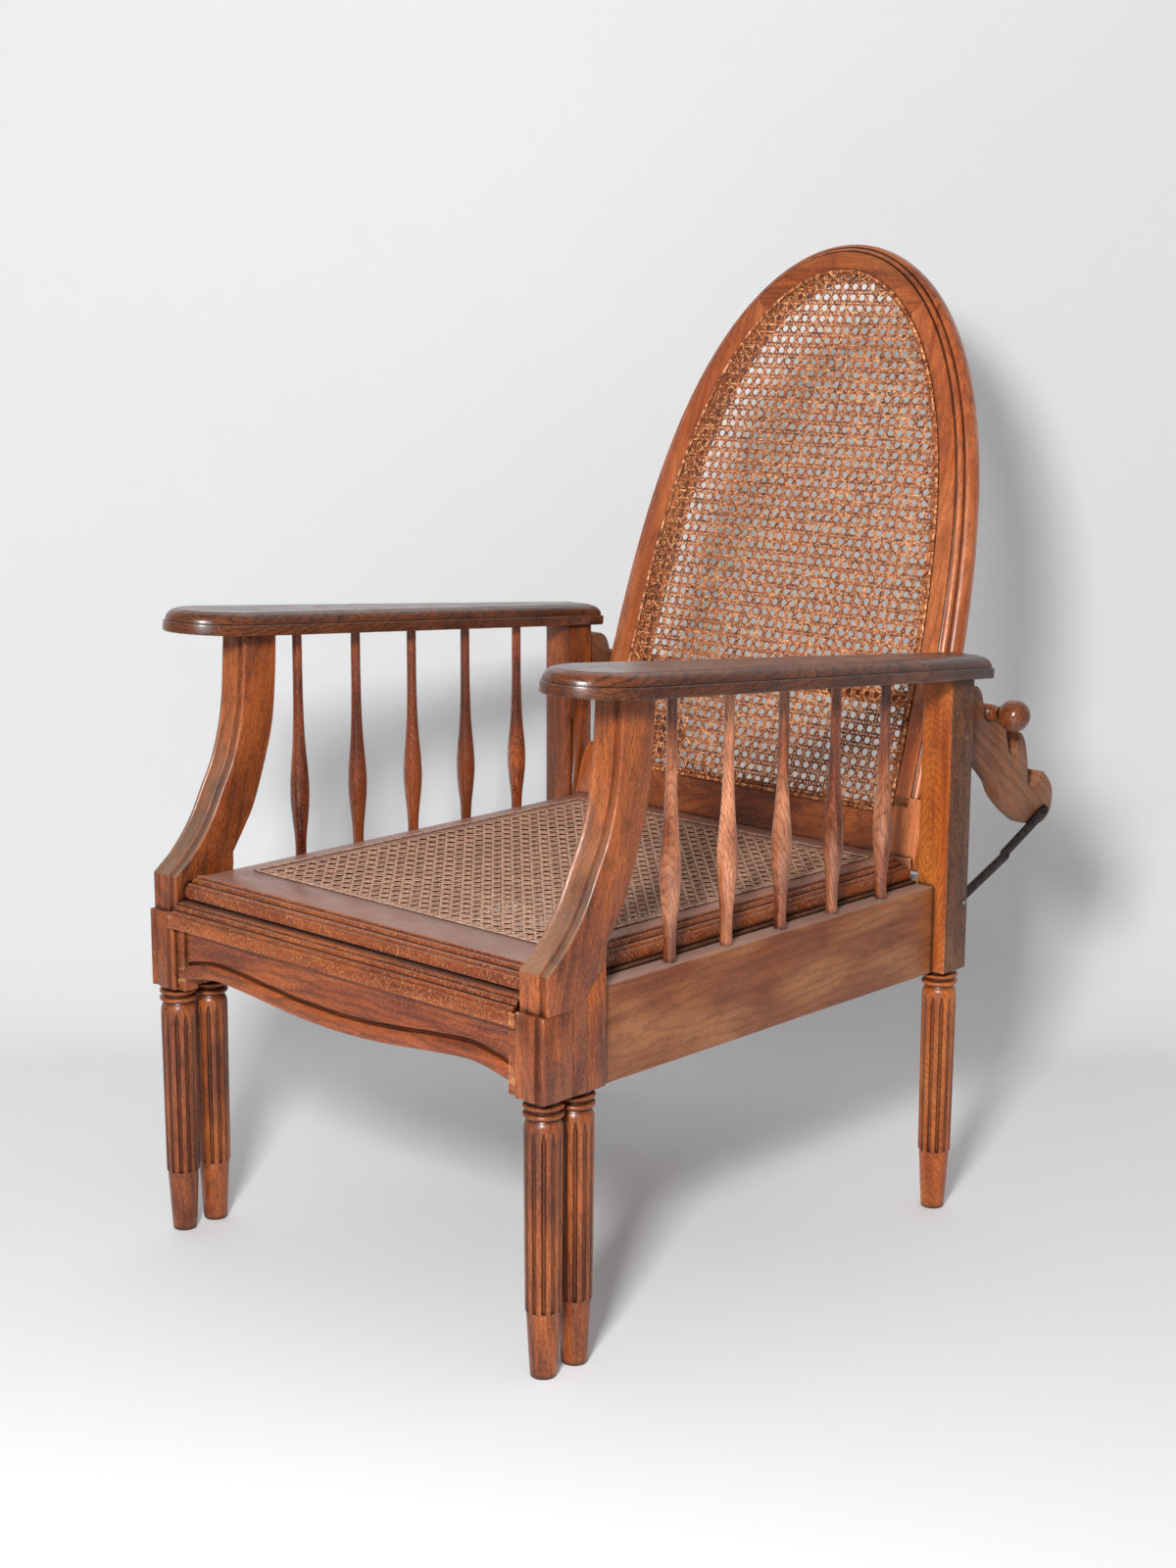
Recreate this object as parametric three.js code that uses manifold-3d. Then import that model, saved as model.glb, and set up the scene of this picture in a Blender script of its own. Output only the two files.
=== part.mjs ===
// A reclining armchair with a caned seat and back, notched rear brackets and a sliding leg rest.
// Millimetres, +Z up, the front of the chair towards -Y and its right side towards +X.
import * as THREE from 'three';
import { mergeGeometries, mergeVertices } from 'three/addons/utils/BufferGeometryUtils.js';
import Module from 'manifold-3d';

const wasm = await Module();
wasm.setup();

// Clearances
const fit = 0.3; // between faces that touch
const seatSideGap = 0.6; // seat frame to the arm supports
const slideGap = 2.7; // leg rest to the pieces it slides between
const noseGap = 3.2; // seat frame to the round foot of the back
const ballGap = 13; // ball knob to the bracket and its stays
const overrun = 2; // how far a cutter or a buried end runs past a face

// Frame
const legAxisX = 275; // legs, rails and spindles from the centre plane
const postAxisX = 284.3; // rear posts from the centre plane
const blockWidth = 38.8; // across the square of every leg
const blockBottom = 279; // where the turning starts
const frontLegDepth = 44.7;
const postDepth = 40.5;
const restLegDepth = 40.6;
const frontLegFront = -333.9; // front face of the chair's front legs
const postFront = 248.5; // front face of the rear posts
const seatTop = 402;
const railThick = 24;
const railDepth = 98.5;
const lowRailThick = 22;
const lowRailDepth = 42;
const cleatDepth = 24; // the strip that carries the seat frame
const cleatReach = 24; // how far it stands in from the side rail
const runnerDepth = 22.7; // the strip that the leg rest slides on
const runnerReach = 58;

// Seat frame and leg rest frame
const frameThick = 24;
const reedRun = 14; // moulded edge, measured inwards
const reedRise = 12; // moulded edge, measured upwards
const seatSetback = 17.8; // front of the seat behind the leg rest's blocks
const seatFrontWidth = 77;
const seatSideWidth = 43;
const seatRearWidth = 39;
const restDrop = 2.5; // leg rest frame below the seat frame
const restFrameThick = 27;
const restProud = 3.2; // front of the leg rest before its blocks
const restFrontWidth = 48;
const restSideWidth = 36;
const restRear = 200;
const restRearWidth = 40;
const lipReach = 4.8; // the fascia's returned ends in front of the leg blocks
const apronThick = 16;
const apronSetback = 8.8; // apron face behind the leg blocks' faces
const apronDepth = 61.5;
const apronBandHeight = 17;
const apronBandProud = 2.5;
const caneThick = 2;
const caneSink = 0.5; // cane below the face of its frame
const canePitch = 44;
const caneWeb = 12;

// Arms
const armUnder = 630.4; // underside of the armrests in the plane of the origin
const armTilt = THREE.MathUtils.degToRad(5);
const armThick = 24;
const armFillet = 12; // the upright lower half of the edge
const armQuirk = 2;
const armSetback = 26.8; // nose of the arm behind the leg rest's blocks
const armNoseLength = 70;
const armRear = 305;
const armInnerFront = 226;
const armInnerRear = 257;
const armOuterFront = 332;
const armOuterRear = 320;
const toeReach = 41.1; // the foot of the arm support in front of the leg
const toeHeight = 39;
const supportSweepFront = 67.9; // how far the top of the support lies behind its foot
const supportSweepRear = 66.2;
const scarfFront = 400; // heights of the slanted joint on the leg
const scarfRear = 417;

// Spindles
const spindleCount = 5;
const spindlePitch = 86;
const spindleSetback = 112.2; // first spindle behind the front leg
const spindleBulge = 10.8;

// Turned legs
const legRadius = 19;
const flutes = 12;
const fluteDepth = 2.6;

// Back
const lean = THREE.MathUtils.degToRad(16.27);
const pivotInset = 18.7; // pivot behind the front faces of the posts
const pivotDrop = 4; // pivot below the top of the seat
const backThick = 30;
const archSideGap = 9.6; // moulding of the back to the rear posts
const archHeight = 680.7; // pivot line to the top of the flat band
const archPower = 3.38;
const bandWidth = 31; // flat band on the stiles
const bandCrestWidth = 27.5; // flat band at the top of the arch
const backReedRun = 20; // moulding outside the flat band, on the stiles
const backReedCrestRun = 13;
const earTop = 48;
const earShoulder = 16;
const earGap = 7.4; // ears to the rear posts
const bottomRailTop = 52.7;
const scarfShare = 0.914; // joints between the stiles and the crest, up the arch
const pinRadius = 5;
const pinDepth = 14; // each end of a pin in its bore

// Notched brackets, support bar and stays
const bracketThick = 20;
const bracketAxisX = 280;
const barRadius = 9;
const barSlack = 0.4; // bar in its notches
const barRestY = 341;
const barRestZ = 558;
const barSwingY = 33.1; // from the bar at rest to the middle of its swing
const barSwingZ = -56.6;
const ballRadius = 18;
const stayThick = 3;
const stayWidth = 12;
const rivetRadius = 5;
const rivetRise = 2;
const stayPinRadius = 2.5;
const staySlotDeep = 20; // slot in the back of the post for the foot of the stay
const stayFootInset = 6.5; // foot pin in front of the back of the post
const stayFootZ = 354;

// Facets of the small round pieces
const boreSides = 12;
const rivetSides = 10;
const barSides = 16;
const ballSides = 14;
const ballRows = 10;
const footSteps = 8; // round foot of the back
const eyeSteps = 6; // each end of a stay
const roundSteps = 3; // quarter round of the armrests

// Sizes that follow
const railTop = seatTop - frameThick - restDrop;
const railBottom = railTop - railDepth;
const restTop = railTop;
const restUnder = restTop - restFrameThick;
const restBlockTop = restTop - reedRise;
const frontLegY = frontLegFront + frontLegDepth / 2;
const frontLegBack = frontLegFront + frontLegDepth;
const postY = postFront + postDepth / 2;
const postBack = postFront + postDepth;
const restLegBack = frontLegFront - fit;
const restLegY = restLegBack - restLegDepth / 2;
const restLegFront = restLegBack - restLegDepth;
const seatFront = restLegFront + seatSetback;
const restFront = restLegFront - restProud;
const armFront = restLegFront + armSetback;
const supportTopFront = frontLegFront + supportSweepFront;
const supportTopRear = frontLegBack + supportSweepRear;
const spindleFirst = frontLegBack + spindleSetback;
const blockInner = legAxisX - blockWidth / 2;
const railInner = legAxisX - railThick / 2;
const postInner = postAxisX - blockWidth / 2;
const archWidth = postInner - archSideGap - backReedRun; // half width to the edge of the flat band
const earReach = postInner - earGap;
const scarfHeight = archHeight * scarfShare;
const pivotY = postFront + pivotInset;
const pivotZ = seatTop - pivotDrop;
const seatHalf = blockInner - seatSideGap;
const seatRear = pivotY - backThick / 2 - noseGap;
const cleatTop = seatTop - frameThick - fit;
const cleatInner = railInner - cleatReach;
const runnerTop = restUnder - fit;
const runnerInner = railInner - runnerReach;
const restSideOuter = cleatInner - slideGap;
const swingY = barRestY + barSwingY;
const swingZ = barRestZ + barSwingZ;
const swingRadius = Math.hypot(barSwingY, barSwingZ);
const bracketOuter = bracketAxisX + bracketThick / 2;
const ballX = bracketOuter + ballGap + ballRadius;
const stayUpperX = bracketOuter + fit;
const stayLowerX = stayUpperX + stayThick + fit;
const stayFootY = postBack - stayFootInset;

const underArm = (y) => armUnder - y * Math.tan(armTilt);

// Finishes
const wood = (color, roughness) => new THREE.MeshStandardMaterial({ color, roughness, metalness: 0 });
const iron = (color) => new THREE.MeshStandardMaterial({ color, roughness: 0.45, metalness: 0.9 });
const finishes = {
  frame: () => wood(0x9a4f26, 0.38),
  arm: () => wood(0x7a4a36, 0.35),
  back: () => wood(0xa65a2c, 0.36),
  dusty: () => wood(0x8d6248, 0.5),
  hidden: () => wood(0x8f5a34, 0.7),
  ball: () => wood(0x8e4420, 0.22),
  cane: () => wood(0xb9824f, 0.6),
  iron: () => iron(0x4a4440),
};

// Closed bodies from rings of points
function skin(rings, capTriangles) {
  const count = rings[0].length;
  const points = rings.flat();
  const index = [];
  for (let r = 0; r < rings.length - 1; r += 1) {
    for (let i = 0; i < count; i += 1) {
      const a = r * count + i;
      const b = r * count + (i + 1) % count;
      index.push(a, b, b + count, a, b + count, a + count);
    }
  }
  const last = (rings.length - 1) * count;
  for (const [a, b, c] of capTriangles) {
    index.push(c, b, a);
    index.push(last + a, last + b, last + c);
  }
  const places = points.flatMap((p) => p.toArray());
  const geometry = new THREE.BufferGeometry();
  geometry.setAttribute('position', new THREE.Float32BufferAttribute(places, 3));
  geometry.setIndex(index);
  return faceOut(geometry);
}

function volume(geometry) {
  const p = geometry.attributes.position;
  const index = geometry.index.array;
  const corners = [new THREE.Vector3(), new THREE.Vector3(), new THREE.Vector3()];
  let sum = 0;
  for (let i = 0; i < index.length; i += 3) {
    corners.forEach((corner, k) => corner.fromBufferAttribute(p, index[i + k]));
    sum += corners[0].dot(corners[1].clone().cross(corners[2]));
  }
  return sum;
}

function faceOut(geometry) {
  if (volume(geometry) < 0) {
    const index = Array.from(geometry.index.array);
    for (let i = 0; i < index.length; i += 3) {
      [index[i + 1], index[i + 2]] = [index[i + 2], index[i + 1]];
    }
    geometry.setIndex(index);
  }
  return geometry;
}

const merged = (geometry) => {
  const bare = geometry.clone();
  bare.deleteAttribute('normal');
  bare.deleteAttribute('uv');
  return faceOut(mergeVertices(bare));
};

const fan = (count) => Array.from({ length: count - 2 }, (_, i) => [0, i + 1, i + 2]);
const earcut = (points) => {
  const triangles = THREE.ShapeUtils.triangulateShape(points, []);
  return THREE.ShapeUtils.isClockWise(points) ? triangles.map(([a, b, c]) => [a, c, b]) : triangles;
};

// Profiles extruded across the chair, up, or forwards
function crosswise(points, x0, x1) {
  const rings = [x0, x1].map((x) => points.map((p) => new THREE.Vector3(x, p.x, p.y)));
  return skin(rings, earcut(points));
}

function upright(points, z0, z1) {
  const rings = [z0, z1].map((z) => points.map((p) => new THREE.Vector3(p.x, p.y, z)));
  return skin(rings, earcut(points));
}

function lengthwise(points, y0, y1) {
  const rings = [y0, y1].map((y) => points.map((p) => new THREE.Vector3(p.x, y, p.y)));
  return skin(rings, earcut(points));
}

function box(x0, x1, y0, y1, z0, z1) {
  const size = new THREE.BoxGeometry(x1 - x0, y1 - y0, z1 - z0);
  return merged(size.translate((x0 + x1) / 2, (y0 + y1) / 2, (z0 + z1) / 2));
}

const dot = (x, y) => new THREE.Vector2(x, y);

function arc(cx, cy, radius, from, to, steps) {
  return Array.from({ length: steps + 1 }, (_, i) => {
    const angle = from + (to - from) * (i / steps);
    return dot(cx + radius * Math.cos(angle), cy + radius * Math.sin(angle));
  });
}

function rod(radius, length, sides) {
  return merged(new THREE.CylinderGeometry(radius, radius, length, sides).rotateZ(Math.PI / 2));
}

// Joins and cuts
function solid(geometry) {
  const flat = merged(geometry);
  const vertProperties = new Float32Array(flat.attributes.position.array);
  const triVerts = new Uint32Array(flat.index.array);
  return new wasm.Manifold(new wasm.Mesh({ numProp: 3, vertProperties, triVerts }));
}

function surface(body) {
  const mesh = body.getMesh();
  const geometry = new THREE.BufferGeometry();
  geometry.setAttribute('position', new THREE.BufferAttribute(new Float32Array(mesh.vertProperties), 3));
  geometry.setIndex(Array.from(mesh.triVerts));
  return geometry;
}

const join = (...pieces) => surface(pieces.map(solid).reduce((a, b) => a.add(b)));
const cut = (piece, ...cutters) => (
  surface(cutters.map(solid).reduce((a, b) => a.subtract(b), solid(piece)))
);

function mirrored(geometry) {
  return faceOut(merged(geometry).scale(-1, 1, 1));
}

// The chair's groups
const chair = new THREE.Group();
const back = new THREE.Group();
back.position.set(0, pivotY, pivotZ);
back.rotation.x = -lean;
const arms = new THREE.Group();
arms.position.set(0, 0, armUnder);
arms.rotation.x = -armTilt;
chair.add(back, arms);

function add(name, geometry, material, parent = chair) {
  geometry.computeVertexNormals();
  const mesh = new THREE.Mesh(geometry, material);
  mesh.name = name;
  parent.add(mesh);
  return mesh;
}

function addPair(name, geometry, finish, parent = chair) {
  add(`${name}_right`, geometry, finish(), parent);
  add(`${name}_left`, mirrored(geometry), finish(), parent);
}

// A turned leg with tapering flutes: rows of height and radius, as shares of the leg's height and radius
const legShares = [
  [0, 0.68], [0.218, 0.86], [0.226, 0.92], [0.235, 0.925], [0.8, 0.985], [0.875, 0.995], [0.886, 1],
  [0.9, 0.92], [0.912, 0.82], [0.92, 0.91], [0.934, 0.91], [0.944, 0.98], [0.955, 1.05], [0.966, 1.05],
  [0.977, 0.96], [0.984, 0.8], [1, 0.8],
];
const fluteShares = { bottom: 0.235, full: 0.8, top: 0.875 };

function fluteAt(share) {
  if (share < fluteShares.bottom || share >= fluteShares.top) return 0;
  return share <= fluteShares.full ? fluteDepth : 0;
}

function turnedLeg(x, y) {
  const sides = flutes * 2;
  const rings = legShares.map(([heightShare, radiusShare]) => {
    const depth = fluteAt(heightShare);
    return Array.from({ length: sides }, (_, i) => {
      const radius = legRadius * radiusShare - (i % 2) * depth;
      const angle = (i / sides) * 2 * Math.PI;
      const z = heightShare * (blockBottom + overrun);
      return new THREE.Vector3(x + radius * Math.cos(angle), y + radius * Math.sin(angle), z);
    });
  });
  return skin(rings, fan(sides));
}

// Front legs: the turning and the block that rises to the slanted joint
function frontLeg() {
  const block = [
    dot(frontLegFront, blockBottom),
    dot(frontLegBack, blockBottom),
    dot(frontLegBack, scarfRear),
    dot(frontLegFront, scarfFront),
  ];
  const upper = crosswise(block, blockInner, blockInner + blockWidth);
  return join(turnedLeg(legAxisX, frontLegY), upper);
}

function rearPost() {
  const block = [
    dot(postFront, blockBottom),
    dot(postBack, blockBottom),
    dot(postBack, underArm(postBack) - fit),
    dot(postFront, underArm(postFront) - fit),
  ];
  const upper = crosswise(block, postInner, postInner + blockWidth);
  const bore = rod(pinRadius + fit, pinDepth + overrun, boreSides);
  bore.translate(postInner + (pinDepth - overrun) / 2, pivotY, pivotZ);
  const slotBottom = stayFootZ - stayWidth;
  const slotTop = stayFootZ + 2 * stayWidth;
  const slotFront = postBack - staySlotDeep;
  const slotBack = postBack + overrun;
  const slotSide = stayLowerX - fit;
  const slot = box(slotSide, slotSide + stayThick + 2 * fit, slotFront, slotBack, slotBottom, slotTop);
  const pinBore = rod(stayPinRadius + fit, blockWidth, boreSides);
  pinBore.translate(stayLowerX + blockWidth / 2, stayFootY, stayFootZ);
  return cut(join(turnedLeg(postAxisX, postY), upper), bore, slot, pinBore);
}

function restLeg() {
  const outer = blockInner + blockWidth;
  const block = box(blockInner, outer, restLegFront, restLegBack, blockBottom, restBlockTop);
  return join(turnedLeg(legAxisX, restLegY), block);
}

// Arm supports: an S-shaped board glued on the front and the slanted top of the leg
const supportFrontShares = [
  [0, 0], [0.23, 0.086], [0.46, 0.204], [0.642, 0.337], [0.817, 0.478], [0.945, 0.686], [1, 1],
];
const supportRearShares = [
  [0, 0], [0.26, 0.113], [0.47, 0.218], [0.742, 0.435], [0.894, 0.602], [0.97, 0.812], [1, 1],
];
const supportSteps = 9;

function swept(shares, y0, z0, y1, z1) {
  const points = shares.map(([u, v]) => dot(y0 + (y1 - y0) * u, z0 + (z1 - z0) * v));
  return new THREE.SplineCurve(points).getPoints(supportSteps);
}

function armSupport() {
  const toeFront = frontLegFront - toeReach;
  const toeBottom = restBlockTop + fit;
  const topFront = underArm(supportTopFront) - fit;
  const topRear = underArm(supportTopRear) - fit;
  const frontEdge = swept(supportFrontShares, toeFront, toeBottom + toeHeight, supportTopFront, topFront);
  const rearEdge = swept(supportRearShares, frontLegBack, scarfRear + fit, supportTopRear, topRear);
  const outline = [
    dot(frontLegFront - fit, toeBottom),
    dot(frontLegFront - fit, scarfFront + fit),
    ...rearEdge,
    ...frontEdge.reverse(),
    dot(toeFront, toeBottom),
  ];
  return crosswise(outline, blockInner, blockInner + blockWidth);
}

// Armrests: one plan outline, stacked and drawn in for the fillet, the quirk and the quarter round
const noseSteps = 8;

function armOutline(inset) {
  const middle = (armInnerFront + armOuterFront) / 2;
  const half = (armOuterFront - armInnerFront) / 2 - inset;
  const noseBack = armFront + armNoseLength;
  const nose = arc(0, 0, 1, -Math.PI, 0, noseSteps * 2);
  const points = nose.map((p) => dot(middle + p.x * half, noseBack + p.y * (armNoseLength - inset)));
  points.push(dot(armOuterRear - inset, 0));
  points.push(dot(armOuterRear - inset, armRear - inset));
  points.push(dot(armInnerRear + inset, armRear - inset));
  return points;
}

function armrest() {
  const roundHigh = armThick - armFillet;
  const levels = [[0, 0], [armFillet - armQuirk / 2, 0], [armFillet - armQuirk / 2, armQuirk]];
  for (let i = 0; i <= roundSteps; i += 1) {
    const angle = (i / roundSteps) * (Math.PI / 2);
    const inset = armQuirk + (roundHigh - armQuirk) * (1 - Math.cos(angle));
    levels.push([armFillet + roundHigh * Math.sin(angle), inset]);
  }
  const rings = levels.map(([z, inset]) => armOutline(inset).map((p) => new THREE.Vector3(p.x, p.y, z)));
  return skin(rings, earcut(armOutline(0)));
}

// Spindles: rows of height and radius, as shares of the spindle's height and its widest radius
const spindleShares = [
  [0, 0.6], [0.06, 0.57], [0.13, 0.62], [0.21, 0.82], [0.28, 0.97], [0.34, 1], [0.41, 0.92], [0.5, 0.73],
  [0.6, 0.59], [0.75, 0.51], [1, 0.5],
];
const spindleSides = 8;

function spindle(y) {
  const foot = railTop + fit;
  const rings = spindleShares.map(([heightShare, radiusShare]) => (
    Array.from({ length: spindleSides }, (_, i) => {
      const angle = (i / spindleSides) * 2 * Math.PI;
      const radius = spindleBulge * radiusShare;
      const dy = radius * Math.sin(angle);
      const top = underArm(y + dy) - fit;
      return new THREE.Vector3(radius * Math.cos(angle), dy, (top - foot) * heightShare);
    })
  ));
  return skin(rings, fan(spindleSides));
}

function addSpindles() {
  for (let k = 0; k < spindleCount; k += 1) {
    const y = spindleFirst + k * spindlePitch;
    for (const [side, x] of [['right', legAxisX], ['left', -legAxisX]]) {
      const mesh = add(`spindle_${side}_${k + 1}`, spindle(y), finishes.frame());
      mesh.position.set(x, y, railTop + fit);
    }
  }
}

// Frame members with a reeded edge: the section runs inwards from the fascia
const reedShares = [[0, 0], [0.12, 0.04], [0.3, 0.3], [0.55, 0.4], [0.6, 0.55], [0.72, 0.85], [1, 1]];

function edgeSection(width, thick, moulded) {
  if (!moulded) return [dot(0, 0), dot(0, thick), dot(width, thick), dot(width, 0)];
  const reeds = reedShares.map(([u, v]) => dot(reedRun * u, thick - reedRise + reedRise * v));
  return [dot(0, 0), ...reeds, dot(width, thick), dot(width, 0)];
}

// A member from corner to corner of a mitred frame, laid along one side of the rectangle
function member(side, plan, widths, under, thick, moulded) {
  const width = widths[side];
  const section = edgeSection(width - fit, thick, moulded);
  const ends = side === 'front' || side === 'rear' ? ['left', 'right'] : ['front', 'rear'];
  const place = (w, end) => {
    const share = w / width;
    const along = ends[end];
    const step = share * widths[along] + fit / 2;
    const cornerX = { left: -plan.half + step, right: plan.half - step }[along];
    const cornerY = { front: plan.front + step, rear: plan.rear - step }[along];
    if (side === 'front') return [cornerX, plan.front + w];
    if (side === 'rear') return [cornerX, plan.rear - w];
    if (side === 'left') return [-plan.half + w, cornerY];
    return [plan.half - w, cornerY];
  };
  const rings = [0, 1].map((end) => section.map((p) => {
    const [x, y] = place(p.x, end);
    return new THREE.Vector3(x, y, under + p.y);
  }));
  return skin(rings, earcut(section));
}

// Cane panels: a flat net with square gaps, cut to the opening it fills
function net(outline) {
  const clearOfEdges = (p) => outline.every((a, i) => {
    const run = outline[(i + 1) % outline.length].clone().sub(a).normalize();
    return run.cross(p.clone().sub(a)) > caneWeb / 2 - fit;
  });
  const min = dot(Infinity, Infinity);
  const max = dot(-Infinity, -Infinity);
  outline.forEach((p) => {
    min.min(p);
    max.max(p);
  });
  const columns = Math.floor((max.x - min.x) / canePitch);
  const rows = Math.floor((max.y - min.y) / canePitch);
  const startX = (min.x + max.x - columns * canePitch + caneWeb) / 2;
  const startY = (min.y + max.y - rows * canePitch + caneWeb) / 2;
  const gap = canePitch - caneWeb;
  const gaps = [];
  for (let i = 0; i < columns; i += 1) {
    for (let j = 0; j < rows; j += 1) {
      const x = startX + i * canePitch;
      const y = startY + j * canePitch;
      const corners = [dot(x, y), dot(x, y + gap), dot(x + gap, y + gap), dot(x + gap, y)];
      if (!corners.every(clearOfEdges)) continue;
      gaps.push(box(x, x + gap, y, y + gap, -overrun, caneThick + overrun));
    }
  }
  return cut(upright(outline, 0, caneThick), mergeGeometries(gaps));
}

function flatPanel(half, front, rear, top) {
  const outline = [dot(-half, front), dot(half, front), dot(half, rear), dot(-half, rear)];
  return net(outline).translate(0, 0, top - caneSink - caneThick);
}

// The back in its own frame: X across, Y from the pivot line to the rear, Z up along the stiles
// Edge section of the back: distance outwards from the flat band and depth from its face, as shares
const backEdgeShares = [
  [0, 0], [0.04, 0.1], [0.2, 0.06], [0.4, 0.13], [0.48, 0.24], [0.62, 0.22], [0.86, 0.32], [1, 0.46],
  [0.96, 0.76], [0.7, 1],
];

const taperPower = 3; // the widths change mostly near the crest
const towardsCrest = (side, top, z) => side + (top - side) * (z / archHeight) ** taperPower;
const bandAt = (z) => towardsCrest(bandWidth, bandCrestWidth, z);

function backSection(z) {
  const face = -backThick / 2;
  const run = towardsCrest(backReedRun, backReedCrestRun, z);
  const edge = backEdgeShares.map(([u, v]) => dot(run * u, face + backThick * v));
  return [dot(-bandAt(z), face), ...edge, dot(-bandAt(z), face + backThick)];
}

const archAt = (z) => archWidth * Math.sqrt(1 - (z / archHeight) ** archPower);

// A point of the flat band's edge and the direction square to it, by its place round the arch
function archStation(angle) {
  const z = archHeight * Math.sin(angle) ** (2 / archPower);
  const slope = (archWidth / archHeight) * (archPower / 2) * (z / archHeight) ** (archPower - 1);
  const run = dot(-slope, Math.cos(angle)).normalize();
  return { x: archWidth * Math.cos(angle), z, outX: run.y, outZ: -run.x };
}

const archAngle = (z) => Math.asin((z / archHeight) ** (archPower / 2));

function archSweep(stations) {
  const rings = stations.map((s) => backSection(s.z).map((p) => (
    new THREE.Vector3(s.x + s.outX * p.x, p.y, s.z + s.outZ * p.x)
  )));
  return skin(rings, earcut(backSection(0)));
}

const stileSteps = 7;
const crestSteps = 14;
const footArc = (radius) => arc(0, 0, radius, Math.PI, 2 * Math.PI, footSteps);

function stileStations() {
  const start = earTop + earShoulder / 2;
  return Array.from({ length: stileSteps + 1 }, (_, i) => {
    const share = i / stileSteps;
    return archStation(archAngle(start + (scarfHeight - fit - start) * share * (2 - share) ** 0.5));
  });
}

function crestStations() {
  const from = archAngle(scarfHeight);
  const step = (Math.PI - 2 * from) / crestSteps;
  return Array.from({ length: crestSteps + 1 }, (_, i) => archStation(from + step * i));
}

function stile() {
  const rail = archSweep(stileStations());
  const inner = archAt(earTop) - bandWidth;
  const half = backThick / 2;
  const side = [...footArc(half), dot(half, earTop), dot(-half, earTop)];
  const ear = crosswise(side, inner, earReach);
  const shoulder = box(inner, archAt(earTop), -half, half, earTop - overrun, earTop + earShoulder);
  const bore = rod(pinRadius + fit, pinDepth + overrun, boreSides);
  bore.translate(earReach + (overrun - pinDepth) / 2, 0, 0);
  return cut(join(ear, shoulder, rail), bore);
}

const crest = () => archSweep(crestStations());

function bottomRail() {
  const half = backThick / 2;
  const side = [...footArc(half), dot(half, bottomRailTop), dot(-half, bottomRailTop)];
  const reach = archAt(earTop) - bandWidth - fit;
  return crosswise(side, -reach, reach);
}

function backCane() {
  const innerEdge = (stations) => stations.map((s) => {
    const inset = bandAt(s.z) + fit;
    return dot(s.x - s.outX * inset, s.z - s.outZ * inset);
  });
  const right = innerEdge(stileStations().slice(1, -1));
  const foot = dot(archAt(earTop) - bandWidth - fit, bottomRailTop + fit);
  const rising = [foot, dot(foot.x, earTop + earShoulder + fit), ...right];
  const falling = rising.map((p) => dot(-p.x, p.y)).reverse();
  const outline = [...rising, ...innerEdge(crestStations()), ...falling];
  return net(outline).rotateX(Math.PI / 2).translate(0, caneThick + caneSink - backThick / 2, 0);
}

// Notched bracket: a hump behind the post, three notches for the bar and hooked teeth between them
// Places round the swing, as shares of a full turn from the rear
const firstNotchShare = 0.3342;
const lastNotchShare = -0.0825;
const notchLipShares = { first: 0.3417, tooth: 0.2944, last: -0.0583 };
const middleNotchShares = [0.23, 0.15];
const bracketFootShares = { top: 1.1, bottom: 0.1 };
const humpShares = [[-1.25, 1.29], [-1.1, 1.37], [-0.92, 1.36], [-0.78, 1.25], [-0.71, 1.07]];
const toothOneShares = [[-0.1, 0.84], [0.01, 0.78], [0.05, 0.62], [0.06, 0.4]];
const toothTwoShares = [[0.46, 0.36], [0.42, 0.43], [0.5, 0.44], [0.62, 0.28], [0.7, 0]];
const toothThreeShares = [
  [1.2, -0.37], [1.4, -0.55], [1.52, -0.78], [1.49, -1.02], [1.3, -1.24], [1.02, -1.32], [0.6, -1.2],
  [0.2, -0.93], [-0.1, -0.62], [-0.3, -0.28], [-0.6, -0.06], [-0.9, 0.02],
];
const notchSteps = 7;

const swingPoint = ([u, v]) => dot(swingY + swingRadius * u, swingZ + swingRadius * v);

function swingArcPoint(radius, turnShare) {
  const angle = 2 * Math.PI * turnShare;
  return dot(swingY + radius * Math.cos(angle), swingZ + radius * Math.sin(angle));
}

function bracketOutline() {
  const hold = barRadius + barSlack;
  const inner = swingRadius - hold;
  const outer = swingRadius + hold;
  const first = swingArcPoint(swingRadius, firstNotchShare);
  const middle = swingPoint(middleNotchShares);
  const last = swingArcPoint(swingRadius, lastNotchShare);
  const firstEnd = (2 * firstNotchShare + 1) * Math.PI; // on the inner side of the bar's path
  const lastEnd = (2 * lastNotchShare + 2) * Math.PI; // on the outer side of it
  return [
    dot(postBack + fit, swingZ + swingRadius * bracketFootShares.top),
    ...humpShares.map(swingPoint),
    swingArcPoint(outer, notchLipShares.first),
    ...arc(first.x, first.y, hold, Math.PI, firstEnd, notchSteps),
    swingArcPoint(inner, notchLipShares.tooth),
    ...toothOneShares.map(swingPoint),
    ...arc(middle.x, middle.y, hold, Math.PI, 2 * Math.PI, notchSteps),
    ...toothTwoShares.map(swingPoint),
    ...arc(last.x, last.y, hold, Math.PI, lastEnd, notchSteps),
    swingArcPoint(outer, notchLipShares.last),
    ...toothThreeShares.map(swingPoint),
    dot(postBack + fit, swingZ + swingRadius * bracketFootShares.bottom),
  ];
}

function ratchetBracket() {
  return crosswise(bracketOutline(), bracketAxisX - bracketThick / 2, bracketOuter);
}

// Stays: flat iron links with a round eye at each end
const stayScrewShares = [1.25, -1.1];
const stayKneeShares = [0.01, -1.69];

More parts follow.
